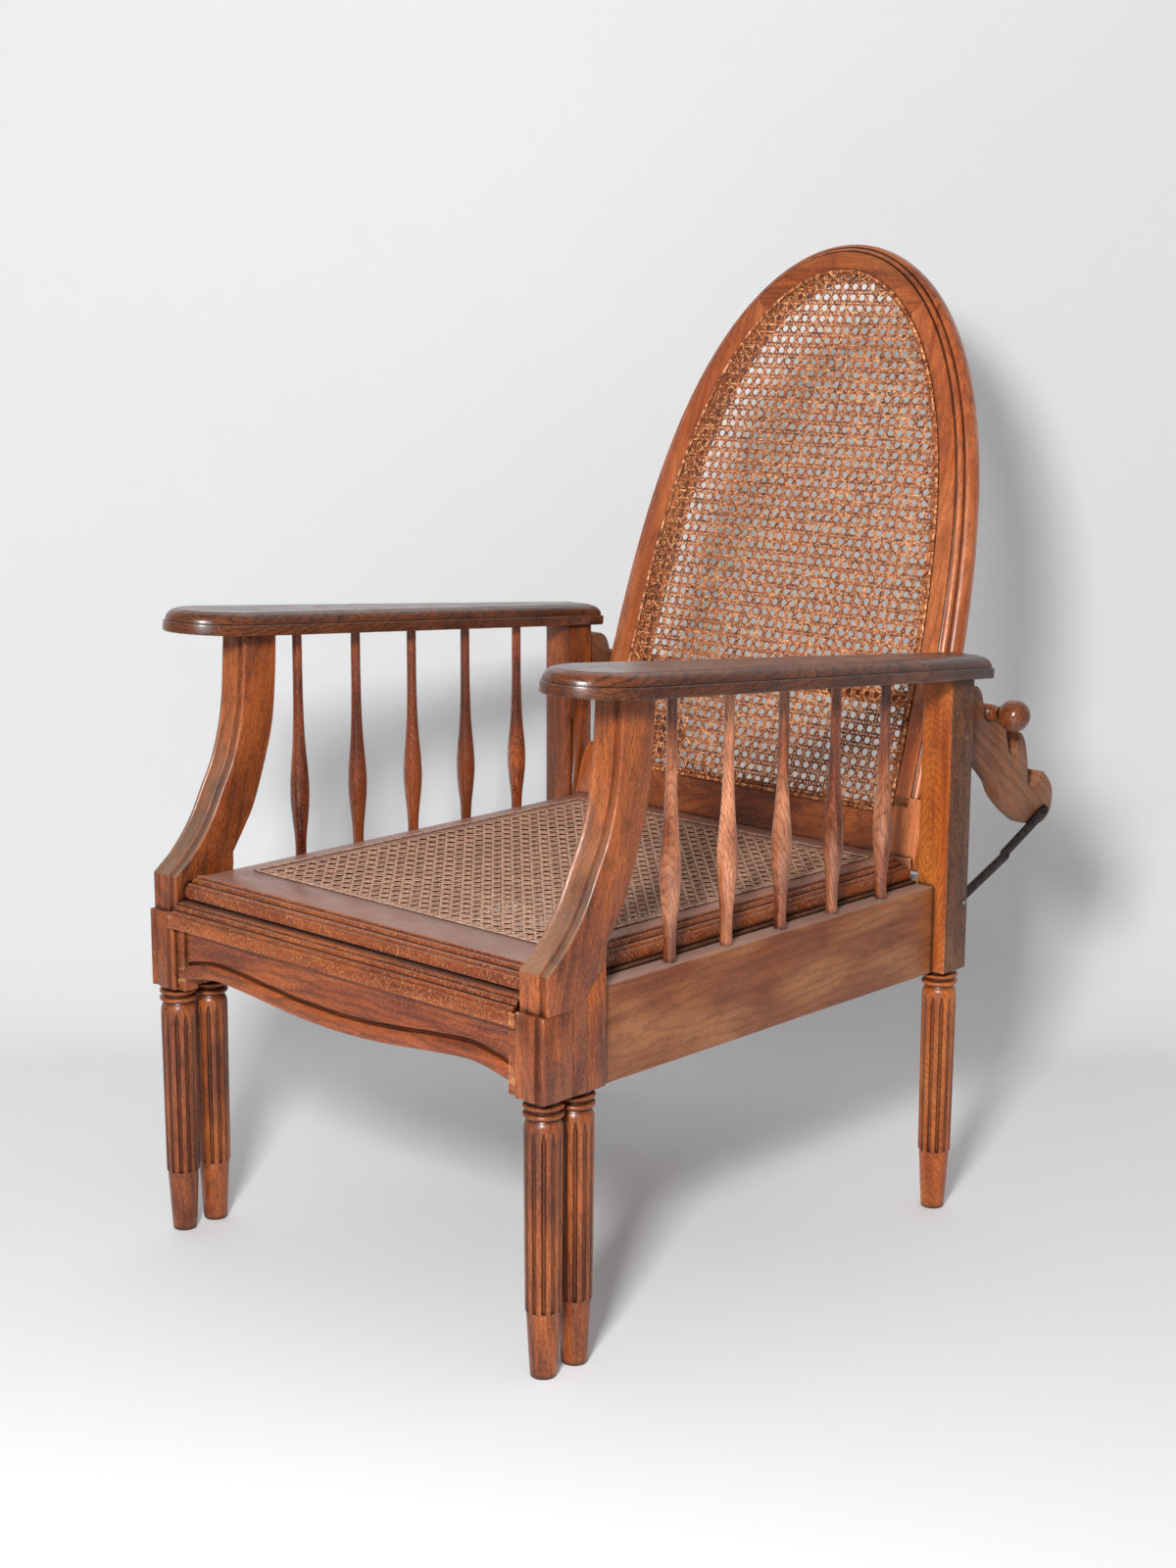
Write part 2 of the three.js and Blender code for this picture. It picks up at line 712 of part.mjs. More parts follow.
function link(from, to, x) {
  const run = to.clone().sub(from);
  const turn = Math.atan2(run.y, run.x);
  const half = stayWidth / 2;
  const outline = [
    ...arc(from.x, from.y, half, turn + Math.PI / 2, turn + 1.5 * Math.PI, eyeSteps),
    ...arc(to.x, to.y, half, turn - Math.PI / 2, turn + Math.PI / 2, eyeSteps),
  ];
  return crosswise(outline, x, x + stayThick);
}

function rivet(at, radius, x0, x1) {
  const head = rod(radius, x1 - x0, rivetSides);
  return head.translate((x0 + x1) / 2, at.x, at.y);
}

function addStays() {
  const screw = swingPoint(stayScrewShares);
  const knee = swingPoint(stayKneeShares);
  const foot = dot(stayFootY, stayFootZ);
  const outerX = stayLowerX + stayThick;
  const postOuter = postInner + blockWidth;
  const upper = join(
    link(screw, knee, stayUpperX),
    rivet(screw, rivetRadius, stayUpperX + stayThick / 2, stayUpperX + stayThick + rivetRise),
  );
  const lower = join(
    link(knee, foot, stayLowerX),
    rivet(knee, rivetRadius, stayLowerX + stayThick / 2, outerX + rivetRise),
    rivet(foot, stayPinRadius, stayLowerX + stayThick / 2, postOuter + rivetRise),
  );
  addPair('stay_upper', upper, finishes.iron);
  addPair('stay_lower', lower, finishes.iron);
}

// Support bar across the brackets, with a turned ball on each end
function addSupportBar() {
  const bar = add('support_bar', rod(barRadius, 2 * (ballX - ballRadius), barSides), finishes.frame());
  bar.position.set(0, barRestY, barRestZ);
  for (const [side, x] of [['right', ballX + fit], ['left', -ballX - fit]]) {
    const round = merged(new THREE.SphereGeometry(ballRadius, ballSides, ballRows));
    const ball = add(`ball_knob_${side}`, round, finishes.ball());
    ball.position.set(x, barRestY, barRestZ);
  }
}

// Apron of the leg rest, with a proud band that follows its shaped lower edge
const apronShares = [
  [0, 0], [0.08, 0.01], [0.24, 0.04], [0.41, 0.105], [0.51, 0.15], [0.65, 0.2], [0.73, 0.22], [0.8, 0.2],
  [0.92, 0.105], [1, 0],
];

function apron() {
  const half = blockInner - fit;
  const top = restUnder - fit;
  const bottom = top - apronDepth;
  const right = apronShares.map(([u, v]) => dot(half * u, bottom + apronDepth * v));
  const left = right.slice(1).map((p) => dot(-p.x, p.y));
  const edge = [...left.reverse(), ...right];
  const face = restLegFront + apronSetback;
  const board = [...edge, dot(half, top), dot(-half, top)];
  const band = [...edge, ...edge.map((p) => dot(p.x, p.y + apronBandHeight)).reverse()];
  return join(
    lengthwise(board, face, face + apronThick),
    lengthwise(band, face - apronBandProud, face + apronThick / 2),
  );
}

function addSeat() {
  const plan = { half: seatHalf, front: seatFront, rear: seatRear };
  const widths = { front: seatFrontWidth, rear: seatRearWidth, left: seatSideWidth, right: seatSideWidth };
  const under = seatTop - frameThick;
  for (const side of ['front', 'rear', 'left', 'right']) {
    const piece = member(side, plan, widths, under, frameThick, side !== 'rear');
    add(`seat_frame_${side}`, piece, finishes.dusty());
  }
  const cane = flatPanel(
    seatHalf - seatSideWidth,
    seatFront + seatFrontWidth,
    seatRear - seatRearWidth,
    seatTop,
  );
  add('seat_cane', cane, finishes.cane());
}

function addLegRest() {
  const plan = { half: restSideOuter, front: restFront, rear: restRear };
  const widths = { front: restFrontWidth, rear: restRearWidth, left: restSideWidth, right: restSideWidth };
  const sideRails = ['left', 'right', 'rear'];
  for (const side of sideRails) {
    const inset = { ...plan, front: restFront + restFrontWidth };
    const flat = { ...widths, front: 0 };
    const piece = member(side, inset, flat, restUnder, restFrameThick, false);
    add(`leg_rest_rail_${side}`, piece, finishes.hidden());
  }
  const section = edgeSection(restFrontWidth, restFrameThick, true);
  const reach = seatHalf;
  const at = (x) => section.map((p) => new THREE.Vector3(x, restFront + p.x, restUnder + p.y));
  const rings = [at(-reach), at(reach)];
  const board = skin(rings, earcut(section));
  const lip = (side) => {
    const ends = [side * (reach - overrun), side * (reach + lipReach)].sort((a, b) => a - b);
    return box(...ends, restFront, restLegFront - fit, restUnder, restBlockTop);
  };
  add('leg_rest_front', join(board, lip(-1), lip(1)), finishes.frame());
  const cane = flatPanel(
    restSideOuter - restSideWidth,
    restFront + restFrontWidth + fit,
    restRear - restRearWidth,
    restTop,
  );
  add('leg_rest_cane', cane, finishes.cane());
  add('leg_rest_apron', apron(), finishes.frame());
  addPair('leg_rest_leg', restLeg(), finishes.frame);
}

function addRails() {
  const front = frontLegBack + fit;
  const rear = postFront - fit;
  const sideRail = box(railInner, railInner + railThick, front, rear, railBottom, railTop);
  addPair('side_rail', sideRail, finishes.frame);
  const cleat = box(cleatInner, railInner - fit, front, rear, cleatTop - cleatDepth, cleatTop);
  addPair('seat_cleat', cleat, finishes.hidden);
  const runner = box(runnerInner, railInner - fit, front, rear, runnerTop - runnerDepth, runnerTop);
  addPair('leg_rest_runner', runner, finishes.hidden);
  const lowTop = restUnder - slideGap;
  const lowHalf = blockInner - fit;
  const lowFront = frontLegY - lowRailThick / 2;
  const lowRail = box(-lowHalf, lowHalf, lowFront, lowFront + lowRailThick, lowTop - lowRailDepth, lowTop);
  add('front_lower_rail', lowRail, finishes.hidden());
  const rearHalf = postInner - fit;
  const rearFront = postY - railThick / 2;
  const rearRail = box(-rearHalf, rearHalf, rearFront, rearFront + railThick, railBottom, railTop);
  add('rear_rail', rearRail, finishes.frame());
}

function addBack() {
  addPair('back_stile', stile(), finishes.back, back);
  add('back_crest', crest(), finishes.back(), back);
  add('back_bottom_rail', bottomRail(), finishes.back(), back);
  add('back_cane', backCane(), finishes.cane(), back);
}

function addPins() {
  const inner = earReach - pinDepth + fit;
  const outer = postInner + pinDepth - fit;
  const pin = rod(pinRadius, outer - inner, boreSides);
  pin.translate((inner + outer) / 2, pivotY, pivotZ);
  addPair('pivot_pin', pin, finishes.iron);
}

addPair('front_leg', frontLeg(), finishes.frame);
addPair('rear_post', rearPost(), finishes.frame);
addPair('arm_support', armSupport(), finishes.frame);
addPair('armrest', armrest(), finishes.arm, arms);
addSpindles();
addRails();
addSeat();
addLegRest();
addBack();
addPins();
addPair('ratchet_bracket', ratchetBracket(), finishes.arm);
addStays();
addSupportBar();

// The origin stands on the floor under the middle of the chair
const whole = new THREE.Group();
whole.add(chair);
whole.updateMatrixWorld(true);
const reach = new THREE.Box3().setFromObject(chair, true);
const centre = reach.getCenter(new THREE.Vector3());
chair.position.set(-centre.x, -centre.y, -reach.min.z);

export default whole;
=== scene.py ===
# Reclining armchair with caned seat and back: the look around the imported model.
import math
import random

import bmesh
import bpy
import numpy as np
from mathutils import Matrix, Vector


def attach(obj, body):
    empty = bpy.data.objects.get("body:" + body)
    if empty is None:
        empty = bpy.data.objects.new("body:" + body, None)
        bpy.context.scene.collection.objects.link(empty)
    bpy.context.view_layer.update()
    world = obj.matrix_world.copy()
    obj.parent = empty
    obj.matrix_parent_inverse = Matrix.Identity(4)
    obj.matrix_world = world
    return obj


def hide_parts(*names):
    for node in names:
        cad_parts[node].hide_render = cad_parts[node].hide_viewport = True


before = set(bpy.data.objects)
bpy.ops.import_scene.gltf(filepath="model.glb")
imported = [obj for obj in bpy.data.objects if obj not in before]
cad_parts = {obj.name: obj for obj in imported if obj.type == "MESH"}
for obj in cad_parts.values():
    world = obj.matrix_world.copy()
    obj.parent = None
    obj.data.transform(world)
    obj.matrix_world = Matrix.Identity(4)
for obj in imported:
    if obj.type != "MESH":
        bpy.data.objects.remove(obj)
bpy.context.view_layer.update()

# Drawn in millimetres from the chair's own centre planes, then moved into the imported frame.
shiftY = -48.428
dice = random.Random(11)


# ---- colours and shader nodes
def linear(text):
    parts = [int(text[i:i + 2], 16) / 255 for i in (1, 3, 5)]
    return [c / 12.92 if c <= 0.04045 else ((c + 0.055) / 1.055) ** 2.4 for c in parts] + [1]


def fill(tree, made, sources):
    # a socket gets a link, a colour or a plain value
    for key, source in sources.items():
        if isinstance(source, bpy.types.NodeSocket):
            tree.links.new(source, made.inputs[key])
        else:
            made.inputs[key].default_value = linear(source) if isinstance(source, str) else source


def node(tree, kind, sources=None, **settings):
    made = tree.nodes.new(kind)
    for name, value in settings.items():
        setattr(made, name, value)
    fill(tree, made, sources or {})
    return made


def ramp(tree, factor, stops):
    made = node(tree, "ShaderNodeValToRGB", {0: factor})
    points = made.color_ramp.elements
    while len(points) < len(stops):
        points.new(0.5)
    for point, (at, colour) in zip(points, stops):
        point.position = at
        point.color = linear(colour) if isinstance(colour, str) else [colour] * 3 + [1]
    return made.outputs[0]


def between(tree, factor, start, full):
    # 0 at start and 1 at full, whichever of them is the lower
    return ramp(tree, factor, sorted([(start, 0.0), (full, 1.0)]))


def mixed(tree, factor, first, second):
    return node(tree, "ShaderNodeMix", {0: factor, 6: first, 7: second}, data_type="RGBA").outputs[2]


def arithmetic(tree, operation, first, second=0.0):
    return node(tree, "ShaderNodeMath", {0: first, 1: second}, operation=operation).outputs[0]


def scaled(tree, value, factor):
    return arithmetic(tree, "MULTIPLY", value, factor)


def vectors(tree, operation, first, second):
    return node(tree, "ShaderNodeVectorMath", {0: first, 1: second}, operation=operation).outputs[0]


def noise(tree, source, alongMm, acrossMm, detail=2.0, roughness=0.5, output="Fac"):
    # one cell of the pattern is alongMm long in the direction of the grain and acrossMm wide
    cells = vectors(tree, "MULTIPLY", source, (1000 / alongMm, 1000 / acrossMm, 1000 / acrossMm))
    sources = {"Vector": cells, "Scale": 1.0, "Detail": detail, "Roughness": roughness}
    return node(tree, "ShaderNodeTexNoise", sources).outputs[output]


def openness(tree, reachMm, samples, **settings):
    # 1 in the open, towards 0 where other surfaces are nearer than reachMm
    sources = {"Distance": reachMm / 1000}
    return node(tree, "ShaderNodeAmbientOcclusion", sources, samples=samples, **settings).outputs["AO"]


def bumped(tree, height, strength, depthMm):
    sources = {"Strength": strength, "Distance": depthMm / 1000, "Height": height}
    return node(tree, "ShaderNodeBump", sources).outputs[0]


def layered(tree, base, look, layers):
    # each layer says where it lies, its greatest share and which colour of the look it has
    for cover, share, colour in layers:
        base = mixed(tree, scaled(tree, cover, share), base, look[colour])
    return base


def newMaterial(name):
    material = bpy.data.materials.new(name)
    material.use_nodes = True
    tree = material.node_tree
    return material, tree, tree.nodes["Principled BSDF"]


# The patterns of the wood: mm along and across the grain, detail and roughness.
grain = dict(
    bend=(90, 26, 2, 0.5), fibres=(30, 1.1, 3, 0.6), bands=(150, 7, 3, 0.5), blotches=(34, 17, 4, 0.6),
    patches=(120, 45, 2, 0.5), dashes=(5.5, 0.9, 1, 0.5), rubs=(30, 9, 3, 0.5), clouds=(60, 28, 4, 0.65),
)
stained = dict(
    carried=False, deep="#652a0d", body="#99481c", light="#b96028", line="#2f1107", stain="#0d0402", bare="#e09c64",
    ringMm=5, slant=0.12, figure=0.4, fibre=0.3, fleck=0.42, blotch=0.5, ray=0.22, rayMm=(2.8, 1.0), uneven=0.45,
    grimeAndShade=0.95, wear=0.6, dust=0, dustSlope=(0.72, 0.97), powder="#a8877a", rough=0.38, relief=0.3, shine=0.45,
    varnish=0.22,
)


# Beech, sawn and planed, stained reddish brown and varnished: arched year lines, short dark flecks,
# light rays across quarter sawn faces, blotched stain, black dirt and painted shade in every quirk and joint,
# worn pale edges, dust.
def beech(name, **changes):
    look = {**stained, **changes}
    material, tree, shader = newMaterial(name)
    if look["carried"]:
        place = node(tree, "ShaderNodeTexCoord").outputs["Object"]
        board = vectors(tree, "ADD", place, (0.07, 0.11, 0.05))
    else:
        board = node(tree, "ShaderNodeAttribute", attribute_name="board").outputs["Vector"]
    # whole metres of the board's X tell the pieces apart, the rest runs along the piece
    along = node(tree, "ShaderNodeSeparateXYZ", {0: board}).outputs["X"]
    tilt = scaled(tree, arithmetic(tree, "SUBTRACT", arithmetic(tree, "FRACT", along), 0.5), look["slant"])
    bend = vectors(tree, "MULTIPLY", noise(tree, board, *grain["bend"], "Color"), (0.0, 0.022, 0.022))
    curved = vectors(tree, "ADD", vectors(tree, "ADD", board, bend),
                     node(tree, "ShaderNodeCombineXYZ", {2: tilt}).outputs[0])
    rings = node(tree, "ShaderNodeTexWave", {
        "Vector": curved, "Scale": 314 / look["ringMm"], "Distortion": 1.6, "Detail": 2.0, "Detail Scale": 1.4,
    }, wave_type="RINGS", rings_direction="X", wave_profile="SAW").outputs[1]
    fibres, blotches, dashes = (noise(tree, board, *grain[key]) for key in ("fibres", "blotches", "dashes"))
    rubs = between(tree, noise(tree, board, *grain["rubs"]), 0.42, 0.6)
    edges = between(tree, openness(tree, 3.5, 6, inside=True, only_local=True), 0.55, 0.25)
    layers = [
        (between(tree, noise(tree, board, *grain["bands"]), 0.36, 0.62), 1, "body"),
        (between(tree, noise(tree, board, *grain["patches"]), 0.42, 0.64), 1, "light"),
        (between(tree, blotches, 0.5, 0.72), look["blotch"], "line"),
        (between(tree, fibres, 0.56, 0.36), look["fibre"], "line"),
        (ramp(tree, rings, [(0.0, 0.0), (0.5, 0.12), (0.84, 1.0), (1.0, 0.0)]), look["figure"], "line"),
        (between(tree, dashes, 0.54, 0.64), look["fleck"], "line"),
        (between(tree, noise(tree, board, *look["rayMm"], 1), 0.57, 0.66), look["ray"], "bare"),
    ]
    if not look["carried"]:
        number = arithmetic(tree, "FLOOR", along)
        chance = node(tree, "ShaderNodeTexWhiteNoise", {"W": number}, noise_dimensions="1D").outputs["Value"]
        layers.append((chance, look["uneven"], "deep"))
    # painted shade with some grime: near black wherever other surfaces lie within 7 mm, in quirks, corners and joints
    layers.append((between(tree, openness(tree, 7, 8), 0.92, 0.48), look["grimeAndShade"], "stain"))
    layers.append((scaled(tree, edges, rubs), look["wear"], "bare"))
    rough = look["rough"]
    if look["dust"]:
        normal = node(tree, "ShaderNodeNewGeometry").outputs["Normal"]
        upward = node(tree, "ShaderNodeSeparateXYZ", {0: normal}).outputs["Z"]
        cloud = ramp(tree, noise(tree, board, *grain["clouds"]), [(0.2, 0.45), (0.75, 1.0)])
        settled = scaled(tree, between(tree, upward, *look["dustSlope"]), cloud)
        layers.append((settled, look["dust"], "powder"))
        rough = arithmetic(tree, "ADD", scaled(tree, settled, 0.12 * look["dust"]), rough)
    patchy = scaled(tree, arithmetic(tree, "SUBTRACT", blotches, 0.5), 0.4)
    height = arithmetic(tree, "ADD", scaled(tree, fibres, 0.6), dashes)
    fill(tree, shader, {
        "Base Color": layered(tree, look["deep"], look, layers), "Roughness": arithmetic(tree, "ADD", rough, patchy),
        "Normal": bumped(tree, height, look["relief"], 0.4), "IOR": 1.5, "Specular IOR Level": look["shine"],
        "Coat Weight": look["varnish"], "Coat Roughness": 0.2,
    })
    return material


frameBeech = beech("stained varnished beech")
supportBeech = beech(
    "stained beech with dusty mouldings", dust=0.75, dustSlope=(0.1, 0.75), powder="#84735f", wear=0.8)
backBeech = beech(
    "stained beech of the back", deep="#9a4518", body="#cc6830", light="#e6874c", ringMm=8, varnish=0.35, figure=0.25,
    blotch=0.3, uneven=0.25)
crestBeech = beech(
    "stained beech of the crest", deep="#85390f", body="#b3561f", light="#cc7034", ringMm=8, varnish=0.35,
    figure=0.35, blotch=0.3, uneven=0.0)
apronBeech = beech(
    "flat sawn beech of the apron", deep="#6f2a09", body="#983f10", light="#b0551c", ringMm=9, slant=0.05, figure=0.6,
    blotch=0.35)
railBeech = beech(
    "flat sawn beech rails", deep="#793d1f", body="#965430", light="#bb7c4b", ringMm=10, slant=0.06, figure=0.4,
    fibre=0.15, fleck=0.35, blotch=0.4, dust=0.8, powder="#a98f84")
armBeech = beech(
    "dark stained beech arms", deep="#3f190b", body="#5f2a13", light="#7c401f", line="#160603", ringMm=4, figure=0.8,
    dust=0.2, powder="#93807c", rough=0.32, varnish=0.35, wear=0.4, ray=0.15)
turning = dict(ringMm=3.5, slant=0.25, figure=0.45, uneven=0.6, varnish=0.6, rough=0.26, blotch=0.55)
# painted light and shade: the right spindles take a lighter copy of the turned beech and the left ones a darker copy
spindleBeech = dict(
    right=beech("turned stained beech, bleached", deep="#521f0d", body="#b86034", light="#fba97c", **turning),
    left=beech("turned stained beech", deep="#3d1408", body="#8f3c1a", light="#c0602f", **turning))
seatBeech = beech(
    "dusty beech of the seat", deep="#752f0d", body="#9c4818", light="#b66027", dust=0.55, powder="#b3978f", ray=0.8,
    rayMm=(1.2, 3.6), blotch=0.35)
foreBeech = beech(
    "quarter sawn beech of the front", deep="#74300c", body="#a24a14", light="#bb6224", ray=0.6, rayMm=(1.2, 3.6),
    blotch=0.3, dust=0.5, powder="#8a675a")
# painted light: a brighter, more orange copy of the beech for the right post only
litRightPostBeech = beech(
    "stained beech posts", deep="#96420f", body="#c4621f", light="#d97e33", line="#5e2408", ringMm=4, slant=0.42,
    figure=0.5, fibre=0.2, uneven=0.6)
darkOuterBeech = beech(
    "darker duller beech of the posts' outer faces", deep="#57301a", body="#774526", light="#8c5936", line="#22110a", rough=0.5, varnish=0.1,
    fleck=0.6)
bracketBeech = beech(
    "dull beech brackets", deep="#6d3c22", body="#8f5838", light="#a36c48", line="#3c1e11", ringMm=10, rough=0.5,
    varnish=0.1, wear=0.4, blotch=0.3)
ballBeech = beech(
    "turned polished beech", deep="#5c2710", body="#8d4824", light="#a65d2f", ringMm=4, figure=0.6, rough=0.22,
    varnish=0.6, fleck=0.2)
# thinly stained and unvarnished, and darker than such beech would be: painted shade for the hidden pieces under the
# seat
shadedInnerBeech = beech(
    "thinly stained beech", carried=True, deep="#4e2a14", body="#6b3e20", light="#7c4c2a", rough=0.65, varnish=0.0,
    wear=0.3, slant=0)


# Rattan cane, split and shaved, aged: orange brown skin with a painted highlight along its crown and painted glints,
# painted shade where strands cross.
def rattan(name, **look):
    material, tree, shader = newMaterial(name)
    strand = node(tree, "ShaderNodeAttribute", attribute_name="strand").outputs["Vector"]
    split = node(tree, "ShaderNodeSeparateXYZ", {0: strand})
    place = node(tree, "ShaderNodeTexCoord").outputs["Object"]
    fibre, glint = noise(tree, strand, 14, 500, 3), noise(tree, strand, 6, 500, 1)
    base = layered(tree, mixed(tree, split.outputs["Z"], look["brown"], look["tan"]), look, [
        (between(tree, fibre, 0.42, 0.66), 1, "pale"),
        (between(tree, noise(tree, place, 45, 45, 3), 0.6, 0.42), look["stainShare"], "stain"),
        # painted highlight along the top of each strand, then painted glints as pale specks
        (split.outputs["Y"], look["crownShare"], "crown"),
        (between(tree, glint, 0.56, 0.63), look["glintShare"], "glint"),
        (between(tree, glint, 0.46, 0.34), look["dullShare"], "shade"),
        (between(tree, openness(tree, 5, 8), 0.82, 0.38), look["shadeShare"], "shade"),
    ])
    fill(tree, shader, {"Base Color": base, "Roughness": look["rough"], "Specular IOR Level": look["shine"],
                        "Normal": bumped(tree, fibre, 0.3, 0.2)})
    return material


backRattan = rattan(
    "split rattan of the back", brown="#551d0d", tan="#a6481d", pale="#d07034", stain="#4b1b0e", stainShare=0.45,
    crown="#d38150", crownShare=0.5, glint="#ffc088", glintShare=1.0, dullShare=0.9, shade="#190907", shadeShare=0.95,
    rough=0.4, shine=0.22)
# painted shade: the leg rest's cane lies under the seat and shows through its holes, so it is a darker copy of the
# rattan
shadedRestRattan = rattan(
    "split rattan of the leg rest, darkened as painted shade", brown="#3d170b", tan="#733417", pale="#8f4e28", stain="#35140a",
    stainShare=0.5, crown="#945836", crownShare=0.4, glint="#b07a4c", glintShare=0.6, dullShare=0.8, shade="#120604",
    shadeShare=1.0, rough=0.5, shine=0.2)
seatRattan = rattan(
    "dusty split rattan of the seat", brown="#9a6449", tan="#c58b69", pale="#dfae8f", stain="#704630",
    stainShare=0.35, crown="#ecc4aa", crownShare=0.6, glint="#f6d6bf", glintShare=0.3, dullShare=0.3,
    shade="#0d0503", shadeShare=1.0, rough=0.5, shine=0.3)


# Wrought strap iron, hammered and oiled: near black, mottled, with rubbed bright edges.
def strapIron(name, **look):
    material, tree, shader = newMaterial(name)
    place = node(tree, "ShaderNodeTexCoord").outputs["Object"]
    mottle = noise(tree, place, 5, 5, 4)
    base = ramp(tree, mottle, [(0.35, look["dark"]), (0.55, look["body"]), (0.72, look["rust"])])
    edges = between(tree, openness(tree, 1.5, 6, inside=True, only_local=True), 0.5, 0.2)
    fill(tree, shader, {
        "Base Color": layered(tree, base, look, [(edges, 0.6, "bright")]), "Metallic": look["metal"],
        "Roughness": arithmetic(tree, "ADD", scaled(tree, mottle, 0.3), look["rough"]),
        "Normal": bumped(tree, mottle, 0.4, 0.3),
    })
    return material


stayIron = strapIron("oiled strap iron", dark="#241f1d", body="#3d3734", rust="#55423a", bright="#8c8580", rough=0.3,
                     metal=0.8)
pinSteel = strapIron("bright steel pins", dark="#77716c", body="#98928c", rust="#857a70", bright="#cfcac4", rough=0.2,
                     metal=0.95)
print("materials ready")


# ---- meshes
class Shell:
    def __init__(self):
        self.points, self.faces, self.count = [], [], 0

    def add(self, points, faces):
        points = np.asarray(points, float).reshape(-1, 3)
        self.points.append(points)
        self.faces += [[i + self.count for i in face] for face in faces]
        self.count += len(points)
        return self

    def loft(self, rings):
        # a tube through the rings, capped at both ends
        rings = np.asarray(rings, float)
        rows, count = rings.shape[:2]
        faces = []
        for r in range(rows - 1):
            for i in range(count):
                a, b = r * count + i, r * count + (i + 1) % count
                faces.append([a, b, b + count, a + count])
        faces += [list(range(count))[::-1], list(range((rows - 1) * count, rows * count))]
        return self.add(rings, faces)

    def turned(self, function):
        self.points = [function(p) for p in self.points]
        return self


upright, lengthways, widthways = (0, 0, 1), (0, 1, 0), (1, 0, 0)


def mirror(points):
    return points * np.array([-1, 1, 1])


def unit(rows):
    return rows / np.maximum(np.linalg.norm(rows, axis=-1, keepdims=True), 1e-9)


def tilted(angle, origin):
    sine, cosine = math.sin(angle), math.cos(angle)

    def turn(p):
        p = np.asarray(p, float).reshape(-1, 3)
        y = p[:, 1] * cosine + p[:, 2] * sine
        z = -p[:, 1] * sine + p[:, 2] * cosine
        return np.stack([p[:, 0] + origin[0], y + origin[1], z + origin[2]], 1)
    return turn


def placed(name, data):
    made = bpy.data.objects.new(name, data)
    bpy.context.scene.collection.objects.link(made)
    return made


def toFrame(points):
    return (points + np.array([0, shiftY, 0])) / 1000


def meshFrom(name, shell, bevel=0.0, sharpAngle=35):
    mesh = bpy.data.meshes.new(name)
    mesh.from_pydata(toFrame(np.concatenate(shell.points)).tolist(), [], shell.faces)
    body = bmesh.new()
    body.from_mesh(mesh)
    bmesh.ops.recalc_face_normals(body, faces=body.faces[:])
    if bevel:
        sharp = [e for e in body.edges
                 if len(e.link_faces) == 2 and e.calc_face_angle(0) > math.radians(sharpAngle)]
        bmesh.ops.bevel(body, geom=sharp, offset=bevel / 1000, segments=2, profile=0.6,
                        affect="EDGES", clamp_overlap=True)
    body.to_mesh(mesh)
    body.free()
    mesh.polygons.foreach_set("use_smooth", [True] * len(mesh.polygons))
    mesh.set_sharp_from_angle(angle=math.radians(sharpAngle))
    return placed(name, mesh)


def pointsOf(mesh):
    flat = np.empty(len(mesh.vertices) * 3, np.float32)
    mesh.vertices.foreach_get("co", flat)
    return flat.reshape(-1, 3)


# The board each piece was sawn from: X along the grain, the pith some way outside the piece.
def sawn(piece, along, across=widthways, pith=(30, 75)):
    along = Vector(along).normalized()
    face = Vector(across)
    face = (face - along * face.dot(along)).normalized()
    depth = along.cross(face)
    points = pointsOf(piece.data)
    points = points - (points.min(0) + points.max(0)) / 2
    start = [dice.randrange(40) + 0.5, dice.uniform(-1, 1) * pith[0] / 1000, dice.choice((-1, 1)) * pith[1] / 1000]
    board = np.stack([points @ np.array(v) + s for v, s in zip((along, face, depth), start)], 1)
    stored = piece.data.attributes.new("board", "FLOAT_VECTOR", "POINT")
    stored.data.foreach_set("vector", board.astype(np.float32).ravel())
    return piece


def dress(piece, material, body, slotName, *nodes):
    piece.data.materials.append(material)
    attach(piece, body)
    if nodes:
        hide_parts(*nodes)


# Takes the cutters away from the piece and from the scene.
def carve(piece, cutters):
    for cutter in cutters:
        change = piece.modifiers.new("cut", "BOOLEAN")
        change.operation, change.solver, change.object = "DIFFERENCE", "EXACT", cutter
    bpy.context.view_layer.update()
    shaped = piece.evaluated_get(bpy.context.evaluated_depsgraph_get())
    mesh = bpy.data.meshes.new_from_object(shaped)
    piece.modifiers.clear()
    piece.data = mesh
    for cutter in cutters:
        bpy.data.objects.remove(cutter)


def box(x0, x1, y0, y1, z0, z1):
    corners = [(x, y, z) for x in (x0, x1) for y in (y0, y1) for z in (z0, z1)]
    faces = [[0, 1, 3, 2], [4, 6, 7, 5], [0, 4, 5, 1], [2, 3, 7, 6], [0, 2, 6, 4], [1, 5, 7, 3]]
    return Shell().add(corners, faces)


def smoothLine(points, steps=6):
    points = [np.array(p, float) for p in points]
    ends = [2 * points[0] - points[1]] + points + [2 * points[-1] - points[-2]]
    line = []
    for a, b, c, d in zip(ends, ends[1:], ends[2:], ends[3:]):
        for t in np.linspace(0, 1, steps, endpoint=False):
            line.append(0.5 * (2 * b + (c - a) * t + (2 * a - 5 * b + 4 * c - d) * t ** 2
                               + (3 * b - a - 3 * c + d) * t ** 3))
    return line + [points[-1]]


def arc(cx, cy, radius, start, end, steps):
    angles = np.radians(np.linspace(start, end, steps + 1))
    return [np.array([cx + radius * math.cos(a), cy + radius * math.sin(a)]) for a in angles]


